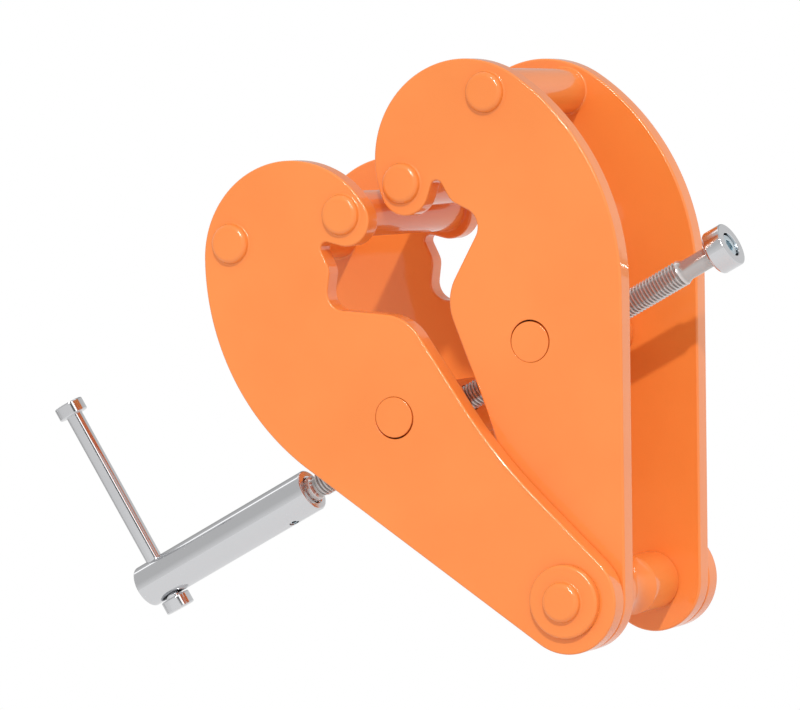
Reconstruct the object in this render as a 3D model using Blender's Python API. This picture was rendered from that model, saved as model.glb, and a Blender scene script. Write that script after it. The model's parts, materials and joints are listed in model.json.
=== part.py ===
"""Beam clamp: four hook-shaped jaw plates that a screw spindle swings about a load pin.

The outer pair of plates is one jaw, the inner pair the other. Each jaw carries a nose bar
that grips the beam's flange, a crown bar, and a trunnion nut on the spindle. One nut is
cut left-handed and the other right-handed, so turning the spindle moves both jaws alike.

Frame: +Z up in the middle plane, X along the spindle, Y along the load pin. The origin lies
midway between the nose bars, level with the flange face that they rest on.
Driving dimensions are in millimetres and in degrees.
"""

import math

import bmesh
import bpy
from mathutils import Matrix, Vector

MM = 0.001

# Clearances between pieces
SEAT_GAP = 0.3
RUNNING_CLEARANCE = 0.3
TRUNNION_CLEARANCE = 0.4
PLATE_GAP = 0.4

# Jaw plates
PLATE_THICKNESS = 10.0
PLATE_EDGE_ROUND = 1.0
INNER_CLEAR_WIDTH = 74.6
END_RADIUS = 23.7
EDGE_LEAN = 10.4
BACK_RADIUS = 113.0
CROWN_RADIUS = 44.6
CROWN_TURN = 13.8
PIVOT_TO_TRUNNION = 115.2

# Nose of a jaw plate, around the nose bar's hole
NOSE_BAR_INSET = 48.3
NOSE_BAR_HEIGHT = 195.6
NOSE_SHIFT = 0.5
NOSE_DROP = 3.0
NOSE_WALL = 5.5

# Throat of a jaw plate, from the nose down to the pivot
APEX_GAP = 5.4
APEX_ANGLE = 17.0
APEX_FILLET = 2.8
KNUCKLE_OUT = 5.2
KNUCKLE_DROP = 14.3
KNUCKLE_FILLET = 9.0
SEAT_OUT = 14.7
SEAT_DROP = 10.5
SEAT_FILLET = 8.5
LOBE_IN = 26.1
LOBE_DROP = 31.5
LOBE_FILLET = 22.0
WAIST_HEIGHT = 68.8
WAIST_INSET = 1.0
WAIST_FILLET = 250.0

# Bars that join the plates of a jaw, with tenons riveted over outside the plates
NOSE_GAP = 8.0
BAR_DIAMETER = 21.0
BAR_EDGE = 0.8
TENON_DIAMETER = 12.0
RIVET_HEAD_DIAMETER = 18.2
RIVET_HEAD_HEIGHT = 3.0
RIVET_HEAD_ROUND = 2.0
CROWN_BAR_MARGIN = 13.1
CROWN_BAR_ANGLE = 59.4

# Load pin and its washers
COLLAR_DIAMETER = 26.8
GROOVE_WIDTH = 23.0
WAIST_DIAMETER = 19.0
JOURNAL_DIAMETER = 16.0
PIN_HEAD_DIAMETER = 17.8
PIN_HEAD_HEIGHT = 3.2
PIN_HEAD_ROUND = 2.0
WASHER_DIAMETER = 32.8
WASHER_THICKNESS = 3.4
WASHER_EDGE = 0.8

# Spindle and trunnion nuts
SPINDLE_DIAMETER = 12.0
THREAD_END = 98.0
THREAD_CHAMFER = 2.2
SHANK_STEP = 1.25
SHANK_LENGTH = 15.8
NUT_DIAMETER = 26.0
NUT_EDGE = 1.0
TRUNNION_DIAMETER = 18.2
TRUNNION_EDGE = 0.5

# End cap and its socket screw
CAP_DIAMETER = 20.4
CAP_REAR_ROUND = 2.2
CAP_FRONT_EDGE = 0.5
CAP_SOCKET_DEPTH = 2.0
CAP_WEB = 2.4
SCREW_RECESS = 0.9
SCREW_DIAMETER = 6.0
SCREW_LENGTH = 16.0
SCREW_HEAD_DIAMETER = 10.4
SCREW_HEAD_HEIGHT = 4.0
SCREW_HEAD_EDGE = 0.5
SCREW_HEAD_GAP = 0.5
HEX_KEY_WIDTH = 5.0
HEX_KEY_DEPTH = 2.4

# Handle and its roll pin
HANDLE_MOUTH = 117.4
HANDLE_LENGTH = 102.0
HANDLE_DIAMETER = 20.2
HANDLE_EDGE = 0.8
HANDLE_BORE_DEPTH = 32.0
ROLL_PIN_INSET = 14.9
ROLL_PIN_DIAMETER = 4.0
ROLL_PIN_WALL = 0.9
ROLL_PIN_SLOT = 0.9
ROLL_PIN_RECESS = 0.6
ROLL_PIN_TILT = 15.0

# Tommy bar, which slides in a cross hole of the handle
TOMMY_HOLE_INSET = 10.6
TOMMY_DIAMETER = 8.0
TOMMY_HOLE_CLEARANCE = 0.3
TOMMY_TILT = -6.7
TOMMY_LENGTH = 111.0
TOMMY_HEAD_DIAMETER = 14.2
TOMMY_HEAD_LENGTH = 6.3
TOMMY_HEAD_EDGE = 0.7
TOMMY_HEAD_SOCKET = 4.2
TOMMY_REST_GAP = 0.5

# How finely round shapes are divided
ARC_SAGITTA = 0.15
BAR_SEGMENTS = 24
SMALL_SEGMENTS = 20
ROUND_STEPS = 2
GROOVE_STEPS = 4
BEVEL_SEGMENTS = 2
BEVEL_ANGLE = 60.0
SMOOTH_ANGLE = 40.0
CUTTER_OVERRUN = 2.0
MERGE_DISTANCE = 0.001
HEX_SIDES = 6

# Finishes, as linear colours
PAINT_COLOUR = (0.95, 0.27, 0.06)
PAINT_ROUGHNESS = 0.32
ZINC_COLOUR = (0.72, 0.73, 0.75)
ZINC_ROUGHNESS = 0.25

# Places across the clamp, measured along Y from the middle plane
INNER_FACE = INNER_CLEAR_WIDTH / 2
INNER_PLATE_OUT = INNER_FACE + PLATE_THICKNESS
OUTER_FACE = INNER_PLATE_OUT + PLATE_GAP
OUTER_PLATE_OUT = OUTER_FACE + PLATE_THICKNESS
WASHER_IN = OUTER_PLATE_OUT + SEAT_GAP
WASHER_OUT = WASHER_IN + WASHER_THICKNESS

# Places in a jaw's own plane: u points outward, v up, from the pivot
NOSE_BAR = Vector((-NOSE_BAR_INSET, NOSE_BAR_HEIGHT))
NOSE_CENTRE = NOSE_BAR + Vector((NOSE_SHIFT, -NOSE_DROP))
NOSE_RADIUS = TENON_DIAMETER / 2 + RUNNING_CLEARANCE + NOSE_WALL
TRUNNION = Vector((0.0, PIVOT_TO_TRUNNION))


def polar(radius, degrees):
    """Return the plane vector of a length and a direction."""
    return Vector((radius * math.cos(math.radians(degrees)), radius * math.sin(math.radians(degrees))))


CROWN_CENTRE = NOSE_CENTRE + polar(CROWN_RADIUS - NOSE_RADIUS, CROWN_TURN)
CROWN_BAR = CROWN_CENTRE + polar(CROWN_RADIUS - CROWN_BAR_MARGIN, CROWN_BAR_ANGLE)

# The jaws' angle from the middle plane follows from the gap between the nose bars
NOSE_BAR_REACH = NOSE_BAR.length
NOSE_HALF_SPACING = (BAR_DIAMETER + NOSE_GAP) / 2
NOSE_HALF_ANGLE = math.asin(NOSE_HALF_SPACING / NOSE_BAR_REACH)
JAW_ANGLE = math.atan2(NOSE_BAR_INSET, NOSE_BAR_HEIGHT) + NOSE_HALF_ANGLE
PIVOT_Z = BAR_DIAMETER / 2 - NOSE_BAR_REACH * math.cos(NOSE_HALF_ANGLE)
SPINDLE_Z = PIVOT_Z + PIVOT_TO_TRUNNION * math.cos(JAW_ANGLE)

# Places along the spindle, measured along X from the middle plane
SHANK_END = THREAD_END + SHANK_LENGTH + CAP_SOCKET_DEPTH - SEAT_GAP
CAP_IN = THREAD_END + SHANK_LENGTH
CAP_WEB_IN = CAP_IN + CAP_SOCKET_DEPTH
CAP_WEB_OUT = CAP_WEB_IN + CAP_WEB
SCREW_SEAT = CAP_WEB_OUT + SEAT_GAP
CAP_OUT = SCREW_SEAT + SCREW_HEAD_HEIGHT + SCREW_RECESS
SCREW_TIP = SCREW_SEAT - SCREW_LENGTH
SPINDLE_START = -HANDLE_MOUTH - HANDLE_BORE_DEPTH + SEAT_GAP
HANDLE_END = -HANDLE_MOUTH - HANDLE_LENGTH
ROLL_PIN_X = -HANDLE_MOUTH - ROLL_PIN_INSET
TOMMY_X = HANDLE_END + TOMMY_HOLE_INSET
SHANK_RADIUS = SPINDLE_DIAMETER / 2 - SHANK_STEP

AXES = {"X": (Vector((1, 0, 0)), Vector((0, 1, 0))),
        "Y": (Vector((0, 1, 0)), Vector((1, 0, 0))),
        "Z": (Vector((0, 0, 1)), Vector((1, 0, 0)))}


def clear_scene():
    """Remove every object that the file opened with."""
    for thing in list(bpy.data.objects):
        bpy.data.objects.remove(thing, do_unlink=True)


def surface(name, colour, roughness, metallic):
    """Return a plain Principled material."""
    material = bpy.data.materials.new(name)
    material.use_nodes = True
    shader = material.node_tree.nodes["Principled BSDF"]
    shader.inputs["Base Color"].default_value = (*colour, 1.0)
    shader.inputs["Roughness"].default_value = roughness
    shader.inputs["Metallic"].default_value = metallic
    return material


def empty(name, place, parent=None, turn=(0.0, 0.0, 0.0)):
    """Add a joint's frame: an empty at a place in millimetres, turned in radians."""
    frame = bpy.data.objects.new(name, None)
    bpy.context.scene.collection.objects.link(frame)
    frame.parent = parent
    frame.location = Vector(place) * MM
    frame.rotation_euler = turn
    return frame


def add_object(name, shape, parent, material=None):
    """Turn a shape in millimetres into a named, smooth-shaded object under its parent."""
    bmesh.ops.transform(shape, matrix=Matrix.Scale(MM, 4), verts=shape.verts)
    bmesh.ops.recalc_face_normals(shape, faces=shape.faces)
    mesh = bpy.data.meshes.new(name)
    shape.to_mesh(mesh)
    shape.free()
    mesh.shade_smooth()
    mesh.set_sharp_from_angle(angle=math.radians(SMOOTH_ANGLE))
    piece = bpy.data.objects.new(name, mesh)
    bpy.context.scene.collection.objects.link(piece)
    piece.parent = parent
    if material:
        mesh.materials.append(material)
    return piece


def turned_shape(profile, axis, segments, centre=(0.0, 0.0, 0.0), ring=False):
    """Spin a profile of (radius, place along the axis) points into a closed shape."""
    along, across = AXES[axis]
    shape = bmesh.new()
    points = []
    for radius, place in profile:
        points.append(shape.verts.new(Vector(centre) + across * radius + along * place))
    pairs = list(zip(points, points[1:]))
    if ring:
        pairs.append((points[-1], points[0]))
    edges = [shape.edges.new(pair) for pair in pairs]
    bmesh.ops.spin(shape, geom=points + edges, cent=centre, axis=along, angle=math.tau,
                   steps=segments, use_merge=True)
    bmesh.ops.remove_doubles(shape, verts=shape.verts, dist=MERGE_DISTANCE)
    return shape


def turned(name, profile, axis, parent, material, segments=BAR_SEGMENTS, ring=False):
    """Add a turned piece about its parent's axis."""
    return add_object(name, turned_shape(profile, axis, segments, ring=ring), parent, material)


def rod(radius, low, high):
    """Return the profile of a plain solid rod."""
    return [(0.0, low), (radius, low), (radius, high), (0.0, high)]


def rounded_end(radius, face, top, rounding):
    """Return profile points from a shoulder at face, round the edge, to the axis at top."""
    sense = 1.0 if top > face else -1.0
    points = [(radius, face)]
    for step in range(ROUND_STEPS + 1):
        turn = math.pi / 2 * step / ROUND_STEPS
        inward = rounding * (1 - math.cos(turn))
        below = rounding * (1 - math.sin(turn))
        points.append((radius - inward, top - sense * below))
    points.append((0.0, top))
    return points


def mirrored(half):
    """Complete a profile that is given from the middle out to one end."""
    other = [(radius, -place) for radius, place in reversed(half) if place > 0]
    return other + half


def cut(piece, shape, label):
    """Cut a shape out of a piece, keeping the cutter hidden beside it."""
    cutter = add_object(f"{piece.name}_{label}", shape, piece.parent)
    cutter.hide_render = True
    cutter.display_type = "WIRE"
    modifier = piece.modifiers.new(label, "BOOLEAN")
    modifier.operation = "DIFFERENCE"
    modifier.solver = "EXACT"
    modifier.object = cutter


def cut_round(piece, radius, axis, low, high, label, centre=(0.0, 0.0, 0.0), segments=SMALL_SEGMENTS):
    """Cut a round hole along an axis of the piece's parent."""
    cut(piece, turned_shape(rod(radius, low, high), axis, segments, centre), label)


def arc(centre, radius, start, end):
    """Return points round an arc, with angles in degrees, close enough for the set sagitta."""
    step = 2 * math.degrees(math.acos(1 - ARC_SAGITTA / radius))
    count = max(2, math.ceil(abs(end - start) / step))
    return [centre + polar(radius, start + (end - start) * index / count) for index in range(count + 1)]


def direction(vector):
    """Return a plane vector's direction in degrees."""
    return math.degrees(math.atan2(vector.y, vector.x))


def fillet(before, corner, after, radius):
    """Return the arc that rounds a corner between two straight edges."""
    back = (before - corner).normalized()
    ahead = (after - corner).normalized()
    half = back.angle(ahead) / 2
    centre = corner + (back + ahead).normalized() * radius / math.sin(half)
    first = direction(corner + back * radius / math.tan(half) - centre)
    last = direction(corner + ahead * radius / math.tan(half) - centre)
    sweep = (last - first + 180) % 360 - 180
    return arc(centre, radius, first, first + sweep)


def tangent_angle(centre, radius, point, side):
    """Return where on a circle the tangent from an outside point touches it."""
    reach = point - centre
    return direction(reach) + side * math.degrees(math.acos(radius / reach.length))


def back_centre():
    """Find the centre of the arc that joins the straight back edge to the crown."""
    normal = polar(1.0, -EDGE_LEAN)
    along = polar(1.0, 90 - EDGE_LEAN)
    base = normal * (END_RADIUS - BACK_RADIUS)
    foot = base + along * (CROWN_CENTRE - base).dot(along)
    reach = math.sqrt((BACK_RADIUS - CROWN_RADIUS) ** 2 - (CROWN_CENTRE - foot).length_squared)
    return foot - along * reach


def plate_outline():
    """Return a jaw plate's outline, counter-clockwise, as seen with u to the right."""
    apex = NOSE_CENTRE + polar(NOSE_RADIUS + APEX_GAP, APEX_ANGLE)
    knuckle = apex + Vector((KNUCKLE_OUT, -KNUCKLE_DROP))
    seat = knuckle + Vector((SEAT_OUT, -SEAT_DROP))
    lobe = seat + Vector((-LOBE_IN, -LOBE_DROP))
    waist = Vector((WAIST_INSET - END_RADIUS, WAIST_HEIGHT))
    pivot = Vector((0.0, 0.0))
    back = back_centre()
    nose_end = tangent_angle(NOSE_CENTRE, NOSE_RADIUS, apex, -1) % 360
    nose_exit = NOSE_CENTRE + polar(NOSE_RADIUS, nose_end)
    end_start = tangent_angle(pivot, END_RADIUS, waist, 1)
    end_entry = polar(END_RADIUS, end_start)
    crown_start = direction(CROWN_CENTRE - back)
    points = arc(pivot, END_RADIUS, end_start, 360 - EDGE_LEAN)
    points += arc(back, BACK_RADIUS, -EDGE_LEAN, crown_start)
    points += arc(CROWN_CENTRE, CROWN_RADIUS, crown_start, 180 + CROWN_TURN)[1:]
    points += arc(NOSE_CENTRE, NOSE_RADIUS, 180 + CROWN_TURN, nose_end)[1:]
    points += fillet(nose_exit, apex, knuckle, APEX_FILLET)
    points += fillet(apex, knuckle, seat, KNUCKLE_FILLET)
    points += fillet(knuckle, seat, lobe, SEAT_FILLET)
    points += fillet(seat, lobe, waist, LOBE_FILLET)
    points += fillet(lobe, waist, end_entry, WAIST_FILLET)
    return points


def plate(name, jaw, side, low, high, material):
    """Add a jaw plate between two places across the clamp, with its four holes."""
    shape = bmesh.new()
    outline = [shape.verts.new((side * point.x, low, point.y)) for point in plate_outline()]
    face = shape.faces.new(outline)
    swept = bmesh.ops.extrude_face_region(shape, geom=[face])["geom"]
    raised = [item for item in swept if isinstance(item, bmesh.types.BMVert)]
    bmesh.ops.translate(shape, verts=raised, vec=(0.0, high - low, 0.0))
    piece = add_object(name, shape, jaw, material)
    bevel = piece.modifiers.new("rounded_edges", "BEVEL")
    bevel.width = PLATE_EDGE_ROUND * MM
    bevel.segments = BEVEL_SEGMENTS
    bevel.limit_method = "ANGLE"
    bevel.angle_limit = math.radians(BEVEL_ANGLE)
    holes = {"pivot_hole": (Vector((0.0, 0.0)), JOURNAL_DIAMETER / 2 + RUNNING_CLEARANCE),
             "nose_hole": (NOSE_BAR, TENON_DIAMETER / 2 + RUNNING_CLEARANCE),
             "crown_hole": (CROWN_BAR, TENON_DIAMETER / 2 + RUNNING_CLEARANCE),
             "trunnion_hole": (TRUNNION, TRUNNION_DIAMETER / 2 + TRUNNION_CLEARANCE)}
    for label, (place, radius) in holes.items():
        centre = (side * place.x, 0.0, place.y)
        cut_round(piece, radius, "Y", low - CUTTER_OVERRUN, high + CUTTER_OVERRUN, label, centre,
                  BAR_SEGMENTS)


def riveted_bar(name, jaw, side, place, inside, outside, material):
    """Add a round bar between a jaw's plates, with tenons and riveted heads at both ends."""
    frame = empty(f"{name}_axis", (side * place.x, 0.0, place.y), jaw)
    shoulder = inside - SEAT_GAP
    under_head = outside + SEAT_GAP
    half = [(BAR_DIAMETER / 2, 0.0),
            (BAR_DIAMETER / 2, shoulder - BAR_EDGE),
            (BAR_DIAMETER / 2 - BAR_EDGE, shoulder),
            (TENON_DIAMETER / 2, shoulder),
            (TENON_DIAMETER / 2, under_head)]
    head_top = under_head + RIVET_HEAD_HEIGHT
    half += rounded_end(RIVET_HEAD_DIAMETER / 2, under_head, head_top, RIVET_HEAD_ROUND)
    turned(name, mirrored(half), "Y", frame, material)


def trunnion_nut(name, jaw, side, turn, inside, outside, material):
    """Add the cross nut that a jaw's plates carry and the spindle runs through."""
    frame = empty(f"{name}_axis", (side * TRUNNION.x, 0.0, TRUNNION.y), jaw, (0.0, -turn, 0.0))
    shoulder = inside - SEAT_GAP
    half = [(NUT_DIAMETER / 2, 0.0),
            (NUT_DIAMETER / 2, shoulder - NUT_EDGE),
            (NUT_DIAMETER / 2 - NUT_EDGE, shoulder),
            (TRUNNION_DIAMETER / 2, shoulder),
            (TRUNNION_DIAMETER / 2, outside - TRUNNION_EDGE),
            (TRUNNION_DIAMETER / 2 - TRUNNION_EDGE, outside),
            (0.0, outside)]
    nut = turned(name, mirrored(half), "Y", frame, material)
    reach = NUT_DIAMETER / 2 + CUTTER_OVERRUN
    cut_round(nut, SPINDLE_DIAMETER / 2 + RUNNING_CLEARANCE, "X", -reach, reach, "thread_bore",
              segments=BAR_SEGMENTS)


def jaw(label, side, pivot, inside, outside, paint):
    """Add one jaw: two plates, two riveted bars and a trunnion nut."""
    turn = side * JAW_ANGLE
    frame = empty(f"{label}_jaw_pivot", (0.0, 0.0, 0.0), pivot, (0.0, turn, 0.0))
    plate(f"{label}_plate_front", frame, side, -outside, -inside, paint)
    plate(f"{label}_plate_rear", frame, side, inside, outside, paint)
    riveted_bar(f"{label}_nose_bar", frame, side, NOSE_BAR, inside, outside, paint)
    riveted_bar(f"{label}_crown_bar", frame, side, CROWN_BAR, inside, outside, paint)
    trunnion_nut(f"{label}_trunnion_nut", frame, side, turn, inside, outside, paint)


def load_pin(pivot, paint):
    """Add the load pin, hollowed round its middle, and the washers under its riveted ends."""
    collar_out = INNER_FACE - SEAT_GAP
    under_head = WASHER_OUT + SEAT_GAP
    reach = GROOVE_WIDTH / 2
    depth = (COLLAR_DIAMETER - WAIST_DIAMETER) / 2
    hollow = (reach ** 2 + depth ** 2) / (2 * depth)
    half = []
    for step in range(GROOVE_STEPS + 1):
        place = reach * step / GROOVE_STEPS
        half.append((WAIST_DIAMETER / 2 + hollow - math.sqrt(hollow ** 2 - place ** 2), place))
    half += [(COLLAR_DIAMETER / 2, collar_out),
             (JOURNAL_DIAMETER / 2, collar_out),
             (JOURNAL_DIAMETER / 2, under_head)]
    half += rounded_end(PIN_HEAD_DIAMETER / 2, under_head, under_head + PIN_HEAD_HEIGHT, PIN_HEAD_ROUND)
    turned("load_pin", mirrored(half), "Y", pivot, paint)
    bore = JOURNAL_DIAMETER / 2 + RUNNING_CLEARANCE
    rim = WASHER_DIAMETER / 2
    for label, sense in (("front", -1), ("rear", 1)):
        profile = [(bore, sense * WASHER_IN),
                   (rim, sense * WASHER_IN),
                   (rim, sense * (WASHER_OUT - WASHER_EDGE)),
                   (rim - WASHER_EDGE, sense * WASHER_OUT),
                   (bore, sense * WASHER_OUT)]
        turned(f"load_pin_washer_{label}", profile, "Y", pivot, paint, ring=True)


def spindle(axis, pin_frame, zinc):
    """Add the spindle: thread for both nuts, a reduced shank and a tapped end."""
    radius = SPINDLE_DIAMETER / 2
    tap = SCREW_DIAMETER / 2 + RUNNING_CLEARANCE
    tap_floor = SCREW_TIP - SEAT_GAP
    profile = [(0.0, SPINDLE_START),
               (radius - THREAD_CHAMFER / 2, SPINDLE_START),
               (radius, SPINDLE_START + THREAD_CHAMFER),
               (radius, THREAD_END - THREAD_CHAMFER),
               (SHANK_RADIUS, THREAD_END),
               (SHANK_RADIUS, SHANK_END),
               (tap, SHANK_END),
               (tap, tap_floor),
               (0.0, tap_floor)]
    piece = turned("spindle", profile, "X", axis, zinc)
    drill_roll_pin(piece, pin_frame)


def drill_roll_pin(piece, pin_frame):
    """Drill the roll pin's cross hole through a piece on the spindle's axis."""
    shape = turned_shape(rod(ROLL_PIN_DIAMETER / 2 + RUNNING_CLEARANCE, -HANDLE_DIAMETER, HANDLE_DIAMETER),
                         "Z", SMALL_SEGMENTS)
    tilt = Matrix.Rotation(pin_frame.rotation_euler.x, 4, "X")
    bmesh.ops.transform(shape, matrix=Matrix.Translation((ROLL_PIN_X, 0.0, 0.0)) @ tilt, verts=shape.verts)
    cut(piece, shape, "roll_pin_hole")


def roll_pin(pin_frame, zinc):
    """Add the slotted spring pin that fixes the handle to the spindle."""
    radius = ROLL_PIN_DIAMETER / 2
    reach = HANDLE_DIAMETER / 2 - ROLL_PIN_RECESS
    bore = radius - ROLL_PIN_WALL
    profile = [(bore, -reach), (radius, -reach), (radius, reach), (bore, reach)]
    piece = turned("roll_pin", profile, "Z", pin_frame, zinc, SMALL_SEGMENTS, ring=True)
    slot = bmesh.new()
    bmesh.ops.create_cube(slot, size=1.0)
    size = Matrix.Diagonal((ROLL_PIN_DIAMETER, ROLL_PIN_SLOT, 2 * HANDLE_DIAMETER, 1.0))
    bmesh.ops.transform(slot, matrix=Matrix.Translation((radius, 0.0, 0.0)) @ size, verts=slot.verts)
    cut(piece, slot, "slot")


def handle(axis, pin_frame, zinc):
    """Add the round handle that is bored for the spindle and cross drilled for the tommy bar."""
    radius = HANDLE_DIAMETER / 2
    bore = SPINDLE_DIAMETER / 2 + RUNNING_CLEARANCE
    mouth = -HANDLE_MOUTH
    profile = [(0.0, HANDLE_END),
               (radius - HANDLE_EDGE, HANDLE_END),
               (radius, HANDLE_END + HANDLE_EDGE),
               (radius, mouth - HANDLE_EDGE),
               (radius - HANDLE_EDGE, mouth),
               (bore + HANDLE_EDGE, mouth),
               (bore, mouth - HANDLE_EDGE),
               (bore, mouth - HANDLE_BORE_DEPTH),
               (0.0, mouth - HANDLE_BORE_DEPTH)]
    piece = turned("handle", profile, "X", axis, zinc)
    drill_roll_pin(piece, pin_frame)
    shape = turned_shape(rod(TOMMY_DIAMETER / 2 + TOMMY_HOLE_CLEARANCE, -HANDLE_DIAMETER, HANDLE_DIAMETER),
                         "Z", SMALL_SEGMENTS)
    tilt = Matrix.Rotation(math.radians(-TOMMY_TILT), 4, "X")
    bmesh.ops.transform(shape, matrix=Matrix.Translation((TOMMY_X, 0.0, 0.0)) @ tilt, verts=shape.verts)
    cut(piece, shape, "tommy_hole")


def end_cap(axis, zinc):
    """Add the round stop cap on the spindle's shank."""
    rim = CAP_DIAMETER / 2
    socket = SHANK_RADIUS + RUNNING_CLEARANCE
    screw_hole = SCREW_DIAMETER / 2 + RUNNING_CLEARANCE
    recess = SCREW_HEAD_DIAMETER / 2 + SCREW_HEAD_GAP
    profile = [(socket, CAP_IN)]
    for step in range(ROUND_STEPS + 1):
        turn = math.pi / 2 * step / ROUND_STEPS
        inward = CAP_REAR_ROUND * (1 - math.sin(turn))
        forward = CAP_REAR_ROUND * (1 - math.cos(turn))
        profile.append((rim - inward, CAP_IN + forward))
    profile += [(rim, CAP_OUT - CAP_FRONT_EDGE),
                (rim - CAP_FRONT_EDGE, CAP_OUT),
                (recess, CAP_OUT),
                (recess, CAP_WEB_OUT),
                (screw_hole, CAP_WEB_OUT),
                (screw_hole, CAP_WEB_IN),
                (socket, CAP_WEB_IN)]
    turned("end_cap", profile, "X", axis, zinc, ring=True)


def end_screw(axis, zinc):
    """Add the socket screw that holds the end cap."""
    head = SCREW_HEAD_DIAMETER / 2
    face = SCREW_SEAT + SCREW_HEAD_HEIGHT
    profile = [(0.0, SCREW_TIP),
               (SCREW_DIAMETER / 2, SCREW_TIP),
               (SCREW_DIAMETER / 2, SCREW_SEAT),
               (head, SCREW_SEAT),
               (head, face - SCREW_HEAD_EDGE),
               (head - SCREW_HEAD_EDGE, face),
               (0.0, face)]
    piece = turned("end_screw", profile, "X", axis, zinc, SMALL_SEGMENTS)
    corner = HEX_KEY_WIDTH / math.sqrt(3)
    cut_round(piece, corner, "X", face - HEX_KEY_DEPTH, face + CUTTER_OVERRUN, "key_socket",
              segments=HEX_SIDES)


def tommy_bar(frame, zinc):
    """Add the sliding bar and the turned head pressed on each of its ends."""
    handle_radius = HANDLE_DIAMETER / 2
    low = -handle_radius - TOMMY_REST_GAP - TOMMY_HEAD_LENGTH
    high = low + TOMMY_LENGTH
    wall = TOMMY_HEAD_LENGTH - TOMMY_HEAD_SOCKET
    turned("tommy_bar", rod(TOMMY_DIAMETER / 2, low + wall + SEAT_GAP, high - wall - SEAT_GAP),
           "Z", frame, zinc, SMALL_SEGMENTS)
    rim = TOMMY_HEAD_DIAMETER / 2
    socket = TOMMY_DIAMETER / 2 + SEAT_GAP
    for label, tip, sense in (("lower", low, 1.0), ("upper", high, -1.0)):
        profile = [(0.0, tip),
                   (rim - TOMMY_HEAD_EDGE, tip),
                   (rim, tip + sense * TOMMY_HEAD_EDGE),
                   (rim, tip + sense * (TOMMY_HEAD_LENGTH - TOMMY_HEAD_EDGE)),
                   (rim - TOMMY_HEAD_EDGE, tip + sense * TOMMY_HEAD_LENGTH),
                   (socket, tip + sense * TOMMY_HEAD_LENGTH),
                   (socket, tip + sense * wall),
                   (0.0, tip + sense * wall)]
        turned(f"tommy_head_{label}", profile, "Z", frame, zinc)


def main():
    """Build the clamp."""
    clear_scene()
    paint = surface("orange_paint", PAINT_COLOUR, PAINT_ROUGHNESS, 0.0)
    zinc = surface("zinc_plated_steel", ZINC_COLOUR, ZINC_ROUGHNESS, 1.0)
    pivot = empty("load_pin_axis", (0.0, 0.0, PIVOT_Z))
    load_pin(pivot, paint)
    jaw("outer", -1, pivot, OUTER_FACE, OUTER_PLATE_OUT, paint)
    jaw("inner", 1, pivot, INNER_FACE, INNER_PLATE_OUT, paint)
    axis = empty("spindle_axis", (0.0, 0.0, SPINDLE_Z))
    pin_turn = (math.radians(-ROLL_PIN_TILT), 0.0, 0.0)
    pin_frame = empty("roll_pin_axis", (ROLL_PIN_X, 0.0, 0.0), axis, pin_turn)
    spindle(axis, pin_frame, zinc)
    end_cap(axis, zinc)
    end_screw(axis, zinc)
    handle(axis, pin_frame, zinc)
    roll_pin(pin_frame, zinc)
    tommy_turn = (math.radians(-TOMMY_TILT), 0.0, 0.0)
    slide = empty("tommy_axis", (TOMMY_X, 0.0, 0.0), axis, tommy_turn)
    tommy_bar(slide, zinc)


main()
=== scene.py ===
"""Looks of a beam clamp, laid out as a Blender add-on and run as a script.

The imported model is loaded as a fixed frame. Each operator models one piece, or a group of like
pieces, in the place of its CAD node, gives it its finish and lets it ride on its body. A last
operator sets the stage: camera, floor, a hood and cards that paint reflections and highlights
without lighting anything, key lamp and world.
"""

import json
import math

import bmesh
import bpy
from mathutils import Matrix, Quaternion, Vector


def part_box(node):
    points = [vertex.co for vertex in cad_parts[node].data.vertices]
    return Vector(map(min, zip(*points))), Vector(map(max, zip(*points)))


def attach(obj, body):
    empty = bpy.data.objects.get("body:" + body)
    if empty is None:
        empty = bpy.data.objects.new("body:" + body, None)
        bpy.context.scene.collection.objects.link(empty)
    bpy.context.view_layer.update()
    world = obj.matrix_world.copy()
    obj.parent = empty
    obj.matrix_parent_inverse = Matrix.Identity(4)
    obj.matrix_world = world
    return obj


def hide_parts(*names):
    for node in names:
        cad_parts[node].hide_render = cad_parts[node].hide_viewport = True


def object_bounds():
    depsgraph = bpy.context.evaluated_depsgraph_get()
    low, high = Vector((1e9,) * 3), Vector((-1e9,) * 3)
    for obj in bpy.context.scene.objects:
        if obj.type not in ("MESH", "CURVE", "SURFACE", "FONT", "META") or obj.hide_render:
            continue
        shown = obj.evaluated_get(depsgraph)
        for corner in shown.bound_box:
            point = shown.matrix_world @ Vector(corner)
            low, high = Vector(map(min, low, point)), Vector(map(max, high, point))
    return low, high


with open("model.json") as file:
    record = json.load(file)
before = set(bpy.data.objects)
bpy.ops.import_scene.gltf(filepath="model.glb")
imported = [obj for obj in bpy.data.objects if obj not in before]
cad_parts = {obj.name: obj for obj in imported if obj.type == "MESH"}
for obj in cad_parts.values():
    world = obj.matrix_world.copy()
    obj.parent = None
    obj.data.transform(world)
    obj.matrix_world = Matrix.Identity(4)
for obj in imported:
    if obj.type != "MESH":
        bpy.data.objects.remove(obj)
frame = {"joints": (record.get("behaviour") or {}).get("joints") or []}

bl_info = {
    "name": "Beam clamp",
    "version": (1, 0, 0),
    "blender": (4, 5, 0),
    "location": "View3D > Sidebar > Clamp",
    "description": "Models the pieces of a beam clamp with their finishes, and sets its stage",
    "category": "Object",
}

MM = 0.001

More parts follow.
